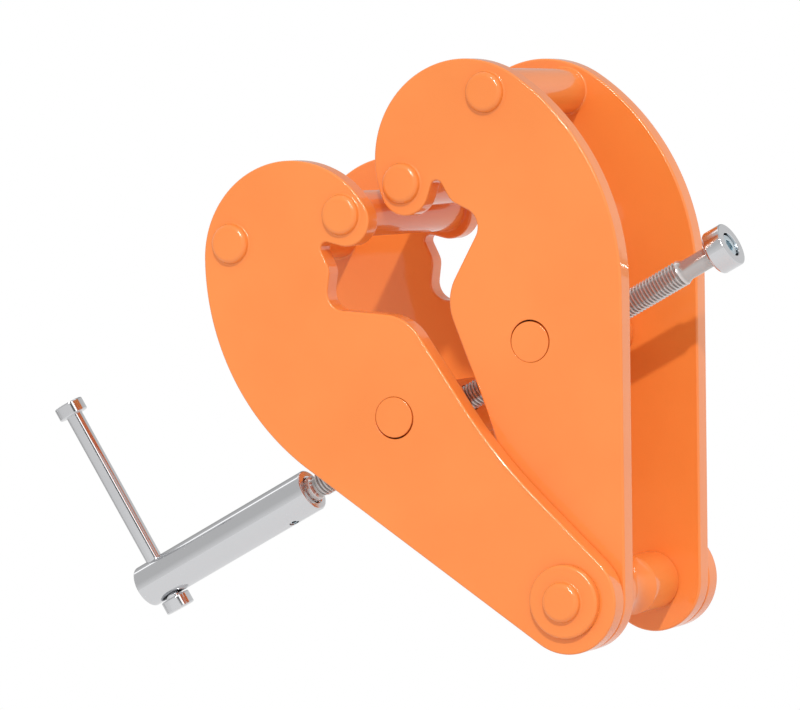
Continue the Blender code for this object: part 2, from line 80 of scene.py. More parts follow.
# Places and axes that the frame gives
JOINTS = {joint["name"]: joint for joint in frame["joints"]}
PIVOT = Vector(JOINTS["inner_jaw_swing"]["pos_m"])
TRUNNIONS = {jaw: Vector(JOINTS[f"{jaw}_nut_turn"]["pos_m"]) for jaw in ("inner", "outer")}
SPINDLE = Vector(JOINTS["spindle_spin"]["pos_m"])
ALONG_SPINDLE = Vector(JOINTS["spindle_spin"]["axis"]).normalized()
ALONG_TOMMY = -Vector(JOINTS["tommy_slide"]["axis"]).normalized()
ALONG_PIN = Vector((0.0, 1.0, 0.0))
JAW_ANGLE = math.atan2(TRUNNIONS["inner"].x - PIVOT.x, TRUNNIONS["inner"].z - PIVOT.z)
CAD_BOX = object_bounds()

# Where the trunnion holes' play shows, across the plates
PLAY_TOWARDS = {"inner": Vector((0.74, 0.0, 0.67)), "outer": Vector((0.19, 0.0, -0.98))}

# How finely shapes are divided
TURN_STEPS = 64
SMALL_TURN_STEPS = 40
ROUND_STEPS = 6
GROOVE_STEPS = 12
ARC_SAGITTA = 0.012 * MM
BEVEL_SEGMENTS = 4
THREAD_STEPS = 28
MERGE_DISTANCE = 0.001 * MM
SMOOTH_ANGLE = math.radians(35.0)
EDGE_ANGLE = math.radians(60.0)

# Small allowances of the modelling itself
OVERRUN = 2.0 * MM
SINK = 0.02 * MM

# What is added to a CAD node's name for the piece that stands for it
LOOK = "_look"

HEXAGON_SIDES = 6

# How fine the finishes' patterns are, in cells per metre
CLOUD_SCALE = 16.0
HAZE_SCALE = 60.0
PEEL_SCALE = 260.0
PLATING_SCALE = 500.0
GRAIN_SCALE = 700.0
MARKS_SCALE = 1400.0
THREAD_MARKS_SCALE = 1800.0

# Bands of a noise value that the finishes use
NOISE_BAND = (0.3, 0.7)
CLOUD_BAND = (0.35, 0.65)

# How far noise takes the roughness to either side, as shares of it
HAZE_SPREAD = 0.3
THREAD_SPREAD = 0.3
PLATING_SPREAD = 0.2

# How much paler the blue plating gets in places
PLATING_PALE = 1.2

# Plates' rims, by how far the surface faces along the pin, and the stretch of the grain on them
RIM_BAND = (0.1, 0.5)
GRAIN_STRETCH = (1.0, 0.04, 1.0)

# Thread's flanks, from root to crest, below the crest in shares of the thread's depth; over them the
# roots' painted shade gives way to the crests' colour
FLANK_BAND = (0.7, 0.2)


def size(name, description, millimetres):
    """Return a length property, given in millimetres."""
    return bpy.props.FloatProperty(name=name, description=description, default=millimetres * MM,
                                   unit="LENGTH", precision=5)


def turn(name, description, degrees):
    """Return an angle property, given in degrees."""
    return bpy.props.FloatProperty(name=name, description=description, default=math.radians(degrees),
                                   subtype="ANGLE")


def colour(name, description, red, green, blue):
    """Return a linear colour property."""
    return bpy.props.FloatVectorProperty(name=name, description=description, default=(red, green, blue),
                                         subtype="COLOR", size=3, min=0.0, max=1.0)


def share(name, description, value):
    """Return a property from 0 to 1."""
    return bpy.props.FloatProperty(name=name, description=description, default=value,
                                   subtype="FACTOR", min=0.0, max=1.0)


def amount(name, description, value):
    """Return a plain number."""
    return bpy.props.FloatProperty(name=name, description=description, default=value, min=0.0)


class JawPlateSizes(bpy.types.PropertyGroup):
    """Outline of a jaw plate in its own plane, measured outwards and upwards from the pivot."""

    end_radius: size("End radius", "Round end about the load pin", 23.7)
    edge_lean: turn("Edge lean", "Lean of the straight part of the back edge", 10.4)
    back_radius: size("Back radius", "Arc of the back edge", 113.0)
    crown_radius: size("Crown radius", "Arc of the crown", 44.6)
    crown_turn: turn("Crown turn", "How far below the nose the crown's arc ends", 13.8)
    nose_shift: size("Nose shift", "Nose's centre, outwards from its bar", 0.5)
    nose_drop: size("Nose drop", "Nose's centre, below its bar", 3.0)
    nose_radius: size("Nose radius", "Arc round the nose bar's end", 11.8)
    apex_gap: size("Apex gap", "Apex of the throat, clear of the nose's arc", 5.4)
    apex_angle: turn("Apex angle", "Direction of the apex from the nose's centre", 17.0)
    apex_fillet: size("Apex fillet", "Rounding at the apex", 2.8)
    knuckle_out: size("Knuckle out", "From the apex outwards to the knuckle", 5.2)
    knuckle_drop: size("Knuckle drop", "From the apex down to the knuckle", 14.3)
    knuckle_fillet: size("Knuckle fillet", "Rounding at the knuckle", 9.0)
    seat_out: size("Seat out", "From the knuckle outwards to the flange seat", 14.7)
    seat_drop: size("Seat drop", "From the knuckle down to the flange seat", 10.5)
    seat_fillet: size("Seat fillet", "Rounding at the flange seat", 8.5)
    lobe_in: size("Lobe in", "From the seat inwards to the lobe", 26.1)
    lobe_drop: size("Lobe drop", "From the seat down to the lobe", 31.5)
    lobe_fillet: size("Lobe fillet", "Rounding of the lobe", 22.0)
    waist_height: size("Waist height", "Corner of the inner edge, above the pivot", 68.8)
    waist_inset: size("Waist inset", "How far the waist stands in from the round end", 1.0)
    waist_fillet: size("Waist fillet", "Long rounding of the waist", 250.0)
    edge_round: size("Edge round", "Rounding of the plate's edges", 1.0)
    rivet_hole: size("Rivet hole", "Diameter of the holes for the bars", 12.6)
    pin_hole: size("Pin hole", "Diameter of the hole for the load pin", 16.6)
    trunnion_hole: size("Trunnion hole", "Diameter of the hole for the nut's trunnion", 19.0)
    trunnion_play: size("Trunnion play", "How far that hole lies off the trunnion's centre", 0.37)
    hole_flare: size("Hole flare", "Chamfer on the holes' rims", 0.25)


class BarSizes(bpy.types.PropertyGroup):
    """Bars that join a jaw's plates, riveted over outside them."""

    bar_diameter: size("Bar diameter", "Nose and crown bars between the plates", 21.0)
    paint_fillet: size("Paint fillet", "Paint gathered where a bar meets a plate", 0.9)
    tenon_diameter: size("Tenon diameter", "Bar's end inside a plate", 12.0)
    head_diameter: size("Head diameter", "Riveted head", 18.2)
    head_round: size("Head round", "Rounding of a riveted head's edge", 2.6)
    nut_diameter: size("Nut diameter", "Cross nut between the plates", 26.0)
    nut_edge: size("Nut edge", "Rounding of the nut's shoulders", 1.0)
    nut_gap: size("Nut gap", "Play between the nut's shoulders and the plates", 0.3)
    trunnion_diameter: size("Trunnion diameter", "Nut's ends in the plates", 18.2)
    trunnion_edge: size("Trunnion edge", "Rounding of the trunnion's end", 0.5)
    thread_bore: size("Thread bore", "Bore that the spindle runs through", 12.6)


class LoadPinSizes(bpy.types.PropertyGroup):
    """Waisted load pin, with a washer under each riveted end."""

    collar_diameter: size("Collar diameter", "Pin's collars against the inner plates", 26.8)
    collar_edge: size("Collar edge", "Rounding of a collar", 0.8)
    collar_gap: size("Collar gap", "Play between a collar and its plate", 0.3)
    groove_width: size("Groove width", "Hollow round the pin's middle", 23.0)
    waist_diameter: size("Waist diameter", "Thinnest part of the pin", 19.0)
    journal_diameter: size("Journal diameter", "Pin inside the plates", 16.0)
    head_diameter: size("Head diameter", "Riveted end", 17.8)
    head_round: size("Head round", "Rounding of the riveted end's edge", 2.4)
    washer_diameter: size("Washer diameter", "Washer under the riveted end", 32.8)
    washer_edge: size("Washer edge", "Rounding of the washer's edge", 1.5)
    paint_fillet: size("Paint fillet", "Paint gathered where the end meets its washer", 0.8)


class SpindleSizes(bpy.types.PropertyGroup):
    """Spindle with a left-hand and a right-hand thread, and its stop cap and screw."""

    diameter: size("Diameter", "Spindle over the thread", 12.0)
    pitch: size("Pitch", "One turn of the thread", 1.75)
    depth: size("Depth", "Thread's depth", 1.07)
    crest: size("Crest", "Flat on the thread's crest", 0.26)
    root: size("Root", "Flat at the thread's root", 0.42)
    neck: size("Neck", "Plain stretch between the two threads", 6.0)
    mouth_plain: size("Mouth plain", "Plain stretch at the handle's mouth", 2.4)
    thread_end: size("Thread end", "Where the cone at the thread's end meets the shank", 99.0)
    end_cone: size("End cone", "Length of that cone", 2.6)
    shank_diameter: size("Shank diameter", "Plain shank behind the cap", 9.5)
    tap_diameter: size("Tap diameter", "Tapped hole in the shank's end", 6.6)
    tap_depth: size("Tap depth", "Depth of the tapped hole", 13.4)
    cap_diameter: size("Cap diameter", "Stop cap", 20.4)
    cap_rear_round: size("Cap rear round", "Rounding of the cap's rear edge", 1.4)
    cap_front_edge: size("Cap front edge", "Chamfer of the cap's front edge", 0.5)
    cap_socket: size("Cap socket", "Depth of the cap's seat on the shank", 2.0)
    cap_web: size("Cap web", "Wall under the screw's head", 2.4)
    cap_bore: size("Cap bore", "Cap's bore for the shank", 10.1)
    screw_hole: size("Screw hole", "Hole in the cap's web", 6.6)
    counterbore: size("Counterbore", "Recess round the screw's head", 11.4)
    screw_diameter: size("Screw diameter", "Screw's shank", 6.0)
    screw_head: size("Screw head", "Screw head's diameter", 10.4)
    screw_head_height: size("Screw head height", "Screw head's height", 4.0)
    screw_edge: size("Screw edge", "Rounding of the screw's head", 0.6)
    key_width: size("Key width", "Hexagon socket across its flats", 5.0)
    key_depth: size("Key depth", "Depth of the hexagon socket", 2.4)


class HandleSizes(bpy.types.PropertyGroup):
    """Handle on the spindle, its roll pin, and the tommy bar through it."""

    diameter: size("Diameter", "Handle", 20.2)
    edge: size("Edge", "Rounding of the handle's edges", 0.8)
    bore: size("Bore", "Bore for the spindle", 12.6)
    bore_depth: size("Bore depth", "Depth of that bore", 32.0)
    mouth_chamfer: size("Mouth chamfer", "Chamfer at the bore's mouth", 0.8)
    pin_diameter: size("Pin diameter", "Roll pin", 4.0)
    pin_wall: size("Pin wall", "Roll pin's wall", 0.9)
    pin_slot: size("Pin slot", "Roll pin's slot", 0.9)
    pin_recess: size("Pin recess", "How far the roll pin stays below the surface", 0.6)
    pin_hole: size("Pin hole", "Hole for the roll pin", 4.6)
    pin_tilt: turn("Pin tilt", "Lean of the roll pin", 15.0)
    tommy_diameter: size("Tommy diameter", "Tommy bar", 8.0)
    tommy_hole: size("Tommy hole", "Cross hole for the tommy bar", 8.6)
    tommy_flare: size("Tommy flare", "Chamfer at the cross hole's mouths", 0.5)
    head_diameter: size("Head diameter", "Heads of the tommy bar", 14.2)
    head_length: size("Head length", "Length of a head", 6.3)
    head_edge: size("Head edge", "Rounding of a head's edges", 0.7)
    head_socket: size("Head socket", "Depth of a head's hole for the bar", 4.2)
    head_gap: size("Head gap", "Play between the bar and a head's hole", 0.1)


class PaintFinish(bpy.types.PropertyGroup):
    """Gloss enamel over the plates, bars, nuts and pin."""

    body: colour("Body", "Enamel", 0.92, 0.262, 0.050)
    deep: colour("Deep", "Enamel where it lies thicker", 0.88, 0.238, 0.042)
    roughness: share("Roughness", "Roughness under the gloss", 0.42)
    sheen_level: share("Sheen level", "Reflection under the gloss, 0.5 being plain plastic's", 0.15)
    gloss: share("Gloss", "Clear gloss on the enamel", 0.9)
    gloss_roughness: share("Gloss roughness", "Roughness of that gloss", 0.05)
    peel: size("Peel", "Height of the orange peel in the enamel", 0.012)
    grain: size("Grain", "Height of the cutting grain under the enamel of the edges", 0.035)


class SteelFinish(bpy.types.PropertyGroup):
    """Bright, threaded and blued steel."""

    bright: colour("Bright", "Plated handle, cap and tommy bar", 0.66, 0.665, 0.68)
    crest: colour("Crest", "Thread's crests", 0.70, 0.68, 0.67)
    # Root: painted shade, the colour that darkens the thread's roots against its crests
    root: colour("Root", "Thread's roots", 0.44, 0.42, 0.41)
    # The shank's tone lies between the roots' painted-shade colour and the crests' colour
    shank_tone: share("Shank tone", "Shank's tone, from the roots' to the crests'", 0.25)
    thread_metal: share("Thread metal", "How much of the thread shows as bare metal", 0.62)
    blued: colour("Blued", "Screw and roll pin", 0.54, 0.62, 0.66)
    bright_roughness: share("Bright roughness", "Roughness of the plated steel", 0.10)
    thread_roughness: share("Thread roughness", "Roughness of the thread", 0.14)
    blued_roughness: share("Blued roughness", "Roughness of the screw", 0.25)
    marks: size("Marks", "Height of the turning marks", 0.0002)


class StageSettings(bpy.types.PropertyGroup):
    """Camera, key lamp, world, hood, cards and floor."""

    azimuth: turn("Azimuth", "Camera's turn to the right of the front", 25.358)
    elevation: turn("Elevation", "Camera's height as an angle", -9.490)
    roll: turn("Roll", "Camera's roll", 26.342)
    distance: size("Distance", "Camera to its aim", 2108.4)
    aim_x: size("Aim X", "Camera's aim along the spindle", -43.94)
    aim_y: size("Aim Y", "Camera's aim along the pin", -5.12)
    aim_z: size("Aim Z", "Camera's aim upwards", -48.33)
    lens: amount("Lens", "Focal length in millimetres on a 36 mm sensor", 206.96)
    key_strength: amount("Key strength", "Strength of the key lamp", 1.42)
    key_spread: turn("Key spread", "How wide the key lamp looks from the clamp", 2.2)
    ambient: amount("Ambient", "Light from all round", 0.78)
    hood_radius: size("Hood radius", "Round hood that gloss and steel reflect", 3000.0)
    hood_light: amount("Hood light", "Brightness of the hood's white", 1.95)
    glint_distance: size("Glint distance", "From the clamp to the cards", 2500.0)
    floor_gap: size("Floor gap", "Floor's clearance under the hanging clamp", 30.0)
    floor_size: size("Floor size", "Side of the floor", 6000.0)
    floor_shadow: share("Floor shadow", "How much of the shadow the floor keeps", 0.4)


class ClampSettings(bpy.types.PropertyGroup):
    """All sizes and finishes of the clamp."""

    plates: bpy.props.PointerProperty(type=JawPlateSizes, name="Jaw plates")
    bars: bpy.props.PointerProperty(type=BarSizes, name="Bars and nuts")
    pin: bpy.props.PointerProperty(type=LoadPinSizes, name="Load pin")
    spindle: bpy.props.PointerProperty(type=SpindleSizes, name="Spindle")
    handle: bpy.props.PointerProperty(type=HandleSizes, name="Handle")
    paint: bpy.props.PointerProperty(type=PaintFinish, name="Enamel")
    steel: bpy.props.PointerProperty(type=SteelFinish, name="Steel")
    stage: bpy.props.PointerProperty(type=StageSettings, name="Stage")


# Modelling by operators


def first_vertex(name, place):
    """Start a piece as a plane merged to one vertex at a place, and stay in edit mode."""
    bpy.ops.object.select_all(action="DESELECT")
    bpy.ops.mesh.primitive_plane_add(size=MM, location=(0.0, 0.0, 0.0))
    piece = bpy.context.object
    piece.name = name
    piece.data.name = name
    bpy.ops.object.mode_set(mode="EDIT")
    bpy.ops.mesh.select_mode(type="VERT")
    bpy.ops.mesh.select_all(action="SELECT")
    bpy.ops.mesh.merge(type="CENTER")
    bpy.ops.transform.translate(value=place)
    return piece


def draw_path(points):
    """Extrude the selected vertex from point to point."""
    for before, after in zip(points, points[1:]):
        bpy.ops.mesh.extrude_vertices_move(TRANSFORM_OT_translate={"value": after - before})


def drawn_loop(name, points):
    """Start a piece as a closed loop of edges, and stay in edit mode with all of it selected."""
    piece = first_vertex(name, points[0])
    draw_path(points + points[:1])
    bpy.ops.mesh.select_all(action="SELECT")
    bpy.ops.mesh.remove_doubles(threshold=MERGE_DISTANCE)
    return piece


def close_shell():
    """Merge doubled vertices, turn the faces outwards and leave edit mode."""
    bpy.ops.mesh.select_all(action="SELECT")
    bpy.ops.mesh.remove_doubles(threshold=MERGE_DISTANCE)
    bpy.ops.mesh.normals_make_consistent(inside=False)
    bpy.ops.object.mode_set(mode="OBJECT")


def beside_axis(profile, centre, along):
    """Return the places of (radius, place along the axis) points on one side of an axis."""
    across = along.orthogonal().normalized()
    return [centre + across * radius + along * place for radius, place in profile]


def turned(name, profile, centre, along, steps=TURN_STEPS, ring=False):
    """Spin a profile of (radius, place along the axis) points into a closed piece."""
    points = beside_axis(profile, centre, along)
    if ring:
        points.append(points[0])
    piece = first_vertex(name, points[0])
    draw_path(points)
    bpy.ops.mesh.select_all(action="SELECT")
    bpy.ops.mesh.spin(steps=steps, angle=math.tau, center=centre, axis=along)
    close_shell()
    return piece


def choose(piece):
    """Select one object alone and make it active."""
    bpy.ops.object.select_all(action="DESELECT")
    piece.select_set(True)
    bpy.context.view_layer.objects.active = piece


def apply_modifier(piece, kind, **options):
    """Add a modifier with its options and apply it."""
    choose(piece)
    bpy.ops.object.modifier_add(type=kind)
    modifier = piece.modifiers[-1]
    for option, value in options.items():
        setattr(modifier, option, value)
    bpy.ops.object.modifier_apply(modifier=modifier.name)


def cut(piece, cutter):
    """Cut one closed shape out of a piece and delete the cutter."""
    apply_modifier(piece, "BOOLEAN", object=cutter, operation="DIFFERENCE", solver="EXACT")
    bpy.data.objects.remove(cutter)


def copied(piece, name, move=(0.0, 0.0, 0.0), mirror=(1.0, 1.0, 1.0)):
    """Return a copy of a piece with its own mesh, mirrored and then moved within that mesh."""
    choose(piece)
    bpy.ops.object.duplicate(linked=False)
    copy = bpy.context.object
    copy.name = name
    copy.data.name = name
    copy.location = move
    copy.scale = mirror
    bpy.ops.object.transform_apply(location=True, rotation=True, scale=True)
    bpy.ops.object.mode_set(mode="EDIT")
    close_shell()
    return copy


def dress(piece, material, body):
    """Shade a finished piece, give it its material, and let it ride and stand for its CAD node."""
    choose(piece)
    bpy.ops.object.shade_smooth_by_angle(angle=SMOOTH_ANGLE)
    apply_modifier(piece, "WEIGHTED_NORMAL", keep_sharp=True)
    piece.data.materials.clear()
    piece.data.materials.append(material)
    node = piece.name.removesuffix(LOOK)
    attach(piece, body)
    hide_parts(node)


# Profiles of turned pieces


def quarter(centre_radius, centre_place, radius, start, end):
    """Return profile points round an arc, with angles in degrees from outwards to along."""
    points = []
    for step in range(ROUND_STEPS + 1):
        angle = math.radians(start + (end - start) * step / ROUND_STEPS)
        points.append((centre_radius + radius * math.cos(angle),
                       centre_place + radius * math.sin(angle)))
    return points


def mirrored(half):
    """Complete a profile that is given from the middle out to one end."""
    other = [(radius, -place) for radius, place in reversed(half) if place > 0]
    return other + half


def riveted_end(radius, face, top, rounding, fillet):
    """Return the profile of a riveted end, from the paint at its foot to the axis on top."""
    points = [(radius + fillet, face - SINK)]
    points += quarter(radius + fillet, face + fillet, fillet, 270, 180)
    points += quarter(radius - rounding, top - rounding, rounding, 0, 90)
    points.append((0.0, top))
    return points


def rod(radius, low, high):
    """Return the profile of a plain rod."""
    return [(0.0, low), (radius, low), (radius, high), (0.0, high)]


def flared(radius, low, high, flare):
    """Return the profile of a hole's cutter that chamfers both of the hole's rims."""
    wide = radius + flare + OVERRUN
    return [(0.0, low - OVERRUN), (wide, low - OVERRUN), (radius, low + flare),
            (radius, high - flare), (wide, high + OVERRUN), (0.0, high + OVERRUN)]


# Outline of a jaw plate


def polar(radius, angle):
    """Return the plane vector of a length and a direction."""
    return Vector((radius * math.cos(angle), radius * math.sin(angle)))


def direction(vector):
    """Return a plane vector's direction."""
    return math.atan2(vector.y, vector.x)


def arc(centre, radius, start, end):
    """Return points round an arc, close enough for the set sagitta."""
    step = 2 * math.acos(1 - ARC_SAGITTA / radius)
    count = max(2, math.ceil(abs(end - start) / step))
    return [centre + polar(radius, start + (end - start) * index / count) for index in range(count + 1)]


def fillet(before, corner, after, radius):
    """Return the arc that rounds a corner between two straight edges."""
    back = (before - corner).normalized()
    ahead = (after - corner).normalized()
    half = back.angle(ahead) / 2
    centre = corner + (back + ahead).normalized() * radius / math.sin(half)
    first = direction(corner + back * radius / math.tan(half) - centre)
    last = direction(corner + ahead * radius / math.tan(half) - centre)
    sweep = (last - first + math.pi) % math.tau - math.pi
    return arc(centre, radius, first, first + sweep)


def tangent_angle(centre, radius, point, side):
    """Return where on a circle the tangent from an outside point touches it."""
    reach = point - centre
    return direction(reach) + side * math.acos(radius / reach.length)


def back_centre(plates, crown):
    """Return the centre of the arc that joins the straight back edge to the crown."""
    normal = polar(1.0, -plates.edge_lean)
    along = polar(1.0, math.pi / 2 - plates.edge_lean)
    base = normal * (plates.end_radius - plates.back_radius)
    foot = base + along * (crown - base).dot(along)
    reach = math.sqrt((plates.back_radius - plates.crown_radius) ** 2 - (crown - foot).length_squared)
    return foot - along * reach


def in_jaw(place):
    """Return a place of the inner jaw in the jaw's own plane."""
    out, up = place.x - PIVOT.x, place.z - PIVOT.z
    return Vector((out * math.cos(JAW_ANGLE) - up * math.sin(JAW_ANGLE),
                   out * math.sin(JAW_ANGLE) + up * math.cos(JAW_ANGLE)))


def from_jaw(point, across):
    """Return the place of a point of the inner jaw's plane, at a distance across the clamp."""
    return Vector((PIVOT.x + point.x * math.cos(JAW_ANGLE) + point.y * math.sin(JAW_ANGLE), across,
                   PIVOT.z - point.x * math.sin(JAW_ANGLE) + point.y * math.cos(JAW_ANGLE)))


def plate_outline(plates):
    """Return a jaw plate's outline in the jaw's plane."""
    nose = in_jaw(middle("inner_nose_bar")) + Vector((plates.nose_shift, -plates.nose_drop))
    crown = nose + polar(plates.crown_radius - plates.nose_radius, plates.crown_turn)
    back = back_centre(plates, crown)
    pivot = Vector((0.0, 0.0))
    apex = nose + polar(plates.nose_radius + plates.apex_gap, plates.apex_angle)
    knuckle = apex + Vector((plates.knuckle_out, -plates.knuckle_drop))
    seat = knuckle + Vector((plates.seat_out, -plates.seat_drop))
    lobe = seat + Vector((-plates.lobe_in, -plates.lobe_drop))
    waist = Vector((plates.waist_inset - plates.end_radius, plates.waist_height))
    nose_end = tangent_angle(nose, plates.nose_radius, apex, -1) % math.tau
    nose_exit = nose + polar(plates.nose_radius, nose_end)
    end_start = tangent_angle(pivot, plates.end_radius, waist, 1)
    end_entry = polar(plates.end_radius, end_start)
    crown_start = direction(crown - back)
    crown_end = math.pi + plates.crown_turn
    points = arc(pivot, plates.end_radius, end_start, math.tau - plates.edge_lean)
    points += arc(back, plates.back_radius, -plates.edge_lean, crown_start)
    points += arc(crown, plates.crown_radius, crown_start, crown_end)[1:]
    points += arc(nose, plates.nose_radius, crown_end, nose_end)[1:]
    points += fillet(nose_exit, apex, knuckle, plates.apex_fillet)
    points += fillet(apex, knuckle, seat, plates.knuckle_fillet)
    points += fillet(knuckle, seat, lobe, plates.seat_fillet)
    points += fillet(seat, lobe, waist, plates.lobe_fillet)
    points += fillet(lobe, waist, end_entry, plates.waist_fillet)
    return points


def middle(node):
    """Return the middle of a CAD node's box."""
    low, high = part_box(node)
    return (low + high) / 2


def span(node):
    """Return how far a CAD node reaches across the clamp, at its inner and outer side."""
    low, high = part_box(node)
    return min(abs(low.y), abs(high.y)), max(abs(low.y), abs(high.y))


# Materials


def add_node(tree, kind, inputs=None, **options):
    """Add a node, set its options, and set or link its inputs."""
    made = tree.nodes.new(kind)
    for option, value in options.items():
        setattr(made, option, value)
    for socket, value in (inputs or {}).items():
        if isinstance(value, bpy.types.NodeSocket):
            tree.links.new(value, made.inputs[socket])
        else:
            made.inputs[socket].default_value = value
    return made


def new_material(name):
    """Return a material, its node tree and its Principled shader."""
    material = bpy.data.materials.new(name)
    material.use_nodes = True
    tree = material.node_tree
    return material, tree, tree.nodes["Principled BSDF"]


def noise(tree, place, scale, detail):
    """Return a noise value that varies over places."""
    inputs = {"Vector": place, "Scale": scale, "Detail": detail}
    return add_node(tree, "ShaderNodeTexNoise", inputs).outputs[0]


def maths(tree, operation, first, second):
    """Return the result of a maths node."""
    return add_node(tree, "ShaderNodeMath", {0: first, 1: second}, operation=operation).outputs[0]


def ranged(tree, value, low, high, to_low, to_high):
    """Return a value mapped from one range to another, and held within it."""
    inputs = {"Value": value, "From Min": low, "From Max": high, "To Min": to_low, "To Max": to_high}
    return add_node(tree, "ShaderNodeMapRange", inputs).outputs[0]


def blend(tree, factor, first, second):
    """Return a colour between two."""
    inputs = {0: factor, 6: first, 7: second}
    return add_node(tree, "ShaderNodeMix", inputs, data_type="RGBA").outputs[2]


def set_sockets(shader, values):
    """Set a shader's own sockets."""
    for socket, value in values.items():
        shader.inputs[socket].default_value = value


def link_bump(tree, shader, height, sockets):
    """Raise a height in metres on a shader's normals."""
    bump = add_node(tree, "ShaderNodeBump", {"Height": height, "Strength": 1.0, "Distance": 1.0})
    for socket in sockets:
        tree.links.new(bump.outputs["Normal"], shader.inputs[socket])


def link_roughness(tree, shader, value, roughness, spread):
    """Let a noise value take a shader's roughness to either side by a share of it."""
    low, high = roughness * (1.0 - spread), roughness * (1.0 + spread)
    tree.links.new(ranged(tree, value, *NOISE_BAND, low, high), shader.inputs["Roughness"])


def enamel(name, paint):
    """Return the gloss enamel, with orange peel all over and cutting grain on the plates' rims."""
    material, tree, shader = new_material(name)
    coordinates = add_node(tree, "ShaderNodeTexCoord")
    place = coordinates.outputs["Object"]
    cloud = ranged(tree, noise(tree, place, CLOUD_SCALE, detail=3.0), *CLOUD_BAND, 0.0, 1.0)
    shade = blend(tree, cloud, (*paint.body, 1.0), (*paint.deep, 1.0))
    tree.links.new(shade, shader.inputs["Base Color"])
    across = add_node(tree, "ShaderNodeSeparateXYZ", {0: coordinates.outputs["Normal"]}).outputs["Y"]
    facing = maths(tree, "ABSOLUTE", across, 0.0)
    rim = ranged(tree, facing, *RIM_BAND, 1.0, 0.0)
    drawn = add_node(tree, "ShaderNodeMapping", {"Vector": place, "Scale": GRAIN_STRETCH}).outputs[0]
    streaks = maths(tree, "MULTIPLY", noise(tree, drawn, GRAIN_SCALE, detail=3.0), rim)
    grain = maths(tree, "MULTIPLY", streaks, paint.grain)
    peel = maths(tree, "MULTIPLY", noise(tree, place, PEEL_SCALE, detail=2.0), paint.peel)
    link_bump(tree, shader, maths(tree, "ADD", peel, grain), ("Normal", "Coat Normal"))
    set_sockets(shader, {"Roughness": paint.roughness, "Specular IOR Level": paint.sheen_level,
                         "Coat Weight": paint.gloss, "Coat Roughness": paint.gloss_roughness})
    return material


def spindle_places(tree):
    """Return the place along the spindle's axis and the radius about it."""
    place = add_node(tree, "ShaderNodeTexCoord").outputs["Object"]
    centred = add_node(tree, "ShaderNodeMapping", {"Vector": place, "Location": -SPINDLE}).outputs[0]
    return axial_places(tree, centred)


def tommy_places(tree):
    """Return the place along the tommy bar's axis and the radius about it."""
    place = add_node(tree, "ShaderNodeTexCoord").outputs["Object"]
    centred = add_node(tree, "ShaderNodeVectorMath", {0: place, 1: -middle("tommy_bar")},
                       operation="ADD").outputs[0]
    turned_back = ALONG_TOMMY.rotation_difference(Vector((1.0, 0.0, 0.0))).to_euler()
    laid = add_node(tree, "ShaderNodeMapping", {"Vector": centred, "Rotation": turned_back}).outputs[0]
    return axial_places(tree, laid)


def axial_places(tree, place):
    """Return the place along X and the radius about it."""
    parts = add_node(tree, "ShaderNodeSeparateXYZ", {0: place})
    flat = add_node(tree, "ShaderNodeCombineXYZ", {"Y": parts.outputs["Y"], "Z": parts.outputs["Z"]})
    length = add_node(tree, "ShaderNodeVectorMath", {0: flat.outputs[0]}, operation="LENGTH")
    return parts.outputs["X"], length.outputs["Value"]


def turning_marks(tree, along, radius, scale):
    """Return a value that varies in rings, as a turning tool leaves them on ends and sides."""
    ring = maths(tree, "ADD", along, radius)
    inputs = {"W": ring, "Scale": scale, "Detail": 2.0}
    return add_node(tree, "ShaderNodeTexNoise", inputs, noise_dimensions="1D").outputs[0]


def bright_steel(name, steel, places):
    """Return bright plated steel with turning marks about an axis."""
    material, tree, shader = new_material(name)
    along, radius = places(tree)
    marks = turning_marks(tree, along, radius, MARKS_SCALE)
    height = maths(tree, "MULTIPLY", marks, steel.marks)
    link_bump(tree, shader, height, ("Normal",))
    place = add_node(tree, "ShaderNodeTexCoord").outputs["Object"]
    cloud = noise(tree, place, HAZE_SCALE, detail=4.0)
    haze = ranged(tree, cloud, *NOISE_BAND, -HAZE_SPREAD, HAZE_SPREAD)
    uneven = maths(tree, "MULTIPLY", maths(tree, "ADD", haze, marks), steel.bright_roughness)
    tree.links.new(maths(tree, "ADD", uneven, steel.bright_roughness / 2), shader.inputs["Roughness"])
    set_sockets(shader, {"Base Color": (*steel.bright, 1.0), "Metallic": 1.0})
    return material


def thread_steel(name, steel, spindle):
    """Return the spindle's steel, with painted shade darkening the thread's roots."""
    material, tree, shader = new_material(name)
    along, radius = spindle_places(tree)
    # Painted shade: the colour darkens with the radius from the crests down into the thread's roots
    low, high = (spindle.diameter / 2 - spindle.depth * part for part in FLANK_BAND)
    clear_of_root_shade = ranged(tree, radius, low, high, 0.0, 1.0)
    # The painted shade ends along the end cone, and the shank keeps a set share between the roots' and
    # the crests' colour
    cone = spindle.thread_end - spindle.end_cone
    shank = ranged(tree, along, cone, spindle.thread_end, 0.0, steel.shank_tone)
    clear_of_root_shade = maths(tree, "MAXIMUM", clear_of_root_shade, shank)
    shade = blend(tree, clear_of_root_shade, (*steel.root, 1.0), (*steel.crest, 1.0))
    tree.links.new(shade, shader.inputs["Base Color"])
    marks = turning_marks(tree, along, radius, THREAD_MARKS_SCALE)
    link_roughness(tree, shader, marks, steel.thread_roughness, THREAD_SPREAD)
    set_sockets(shader, {"Metallic": steel.thread_metal})
    return material


def blued_steel(name, steel):
    """Return the blue plated steel of the screw and the roll pin."""
    material, tree, shader = new_material(name)
    place = add_node(tree, "ShaderNodeTexCoord").outputs["Object"]
    cloud = noise(tree, place, PLATING_SCALE, detail=3.0)
    pale = tuple(min(1.0, channel * PLATING_PALE) for channel in steel.blued)
    shade = blend(tree, cloud, (*steel.blued, 1.0), (*pale, 1.0))
    tree.links.new(shade, shader.inputs["Base Color"])
    link_roughness(tree, shader, cloud, steel.blued_roughness, PLATING_SPREAD)
    set_sockets(shader, {"Metallic": 1.0})
    return material


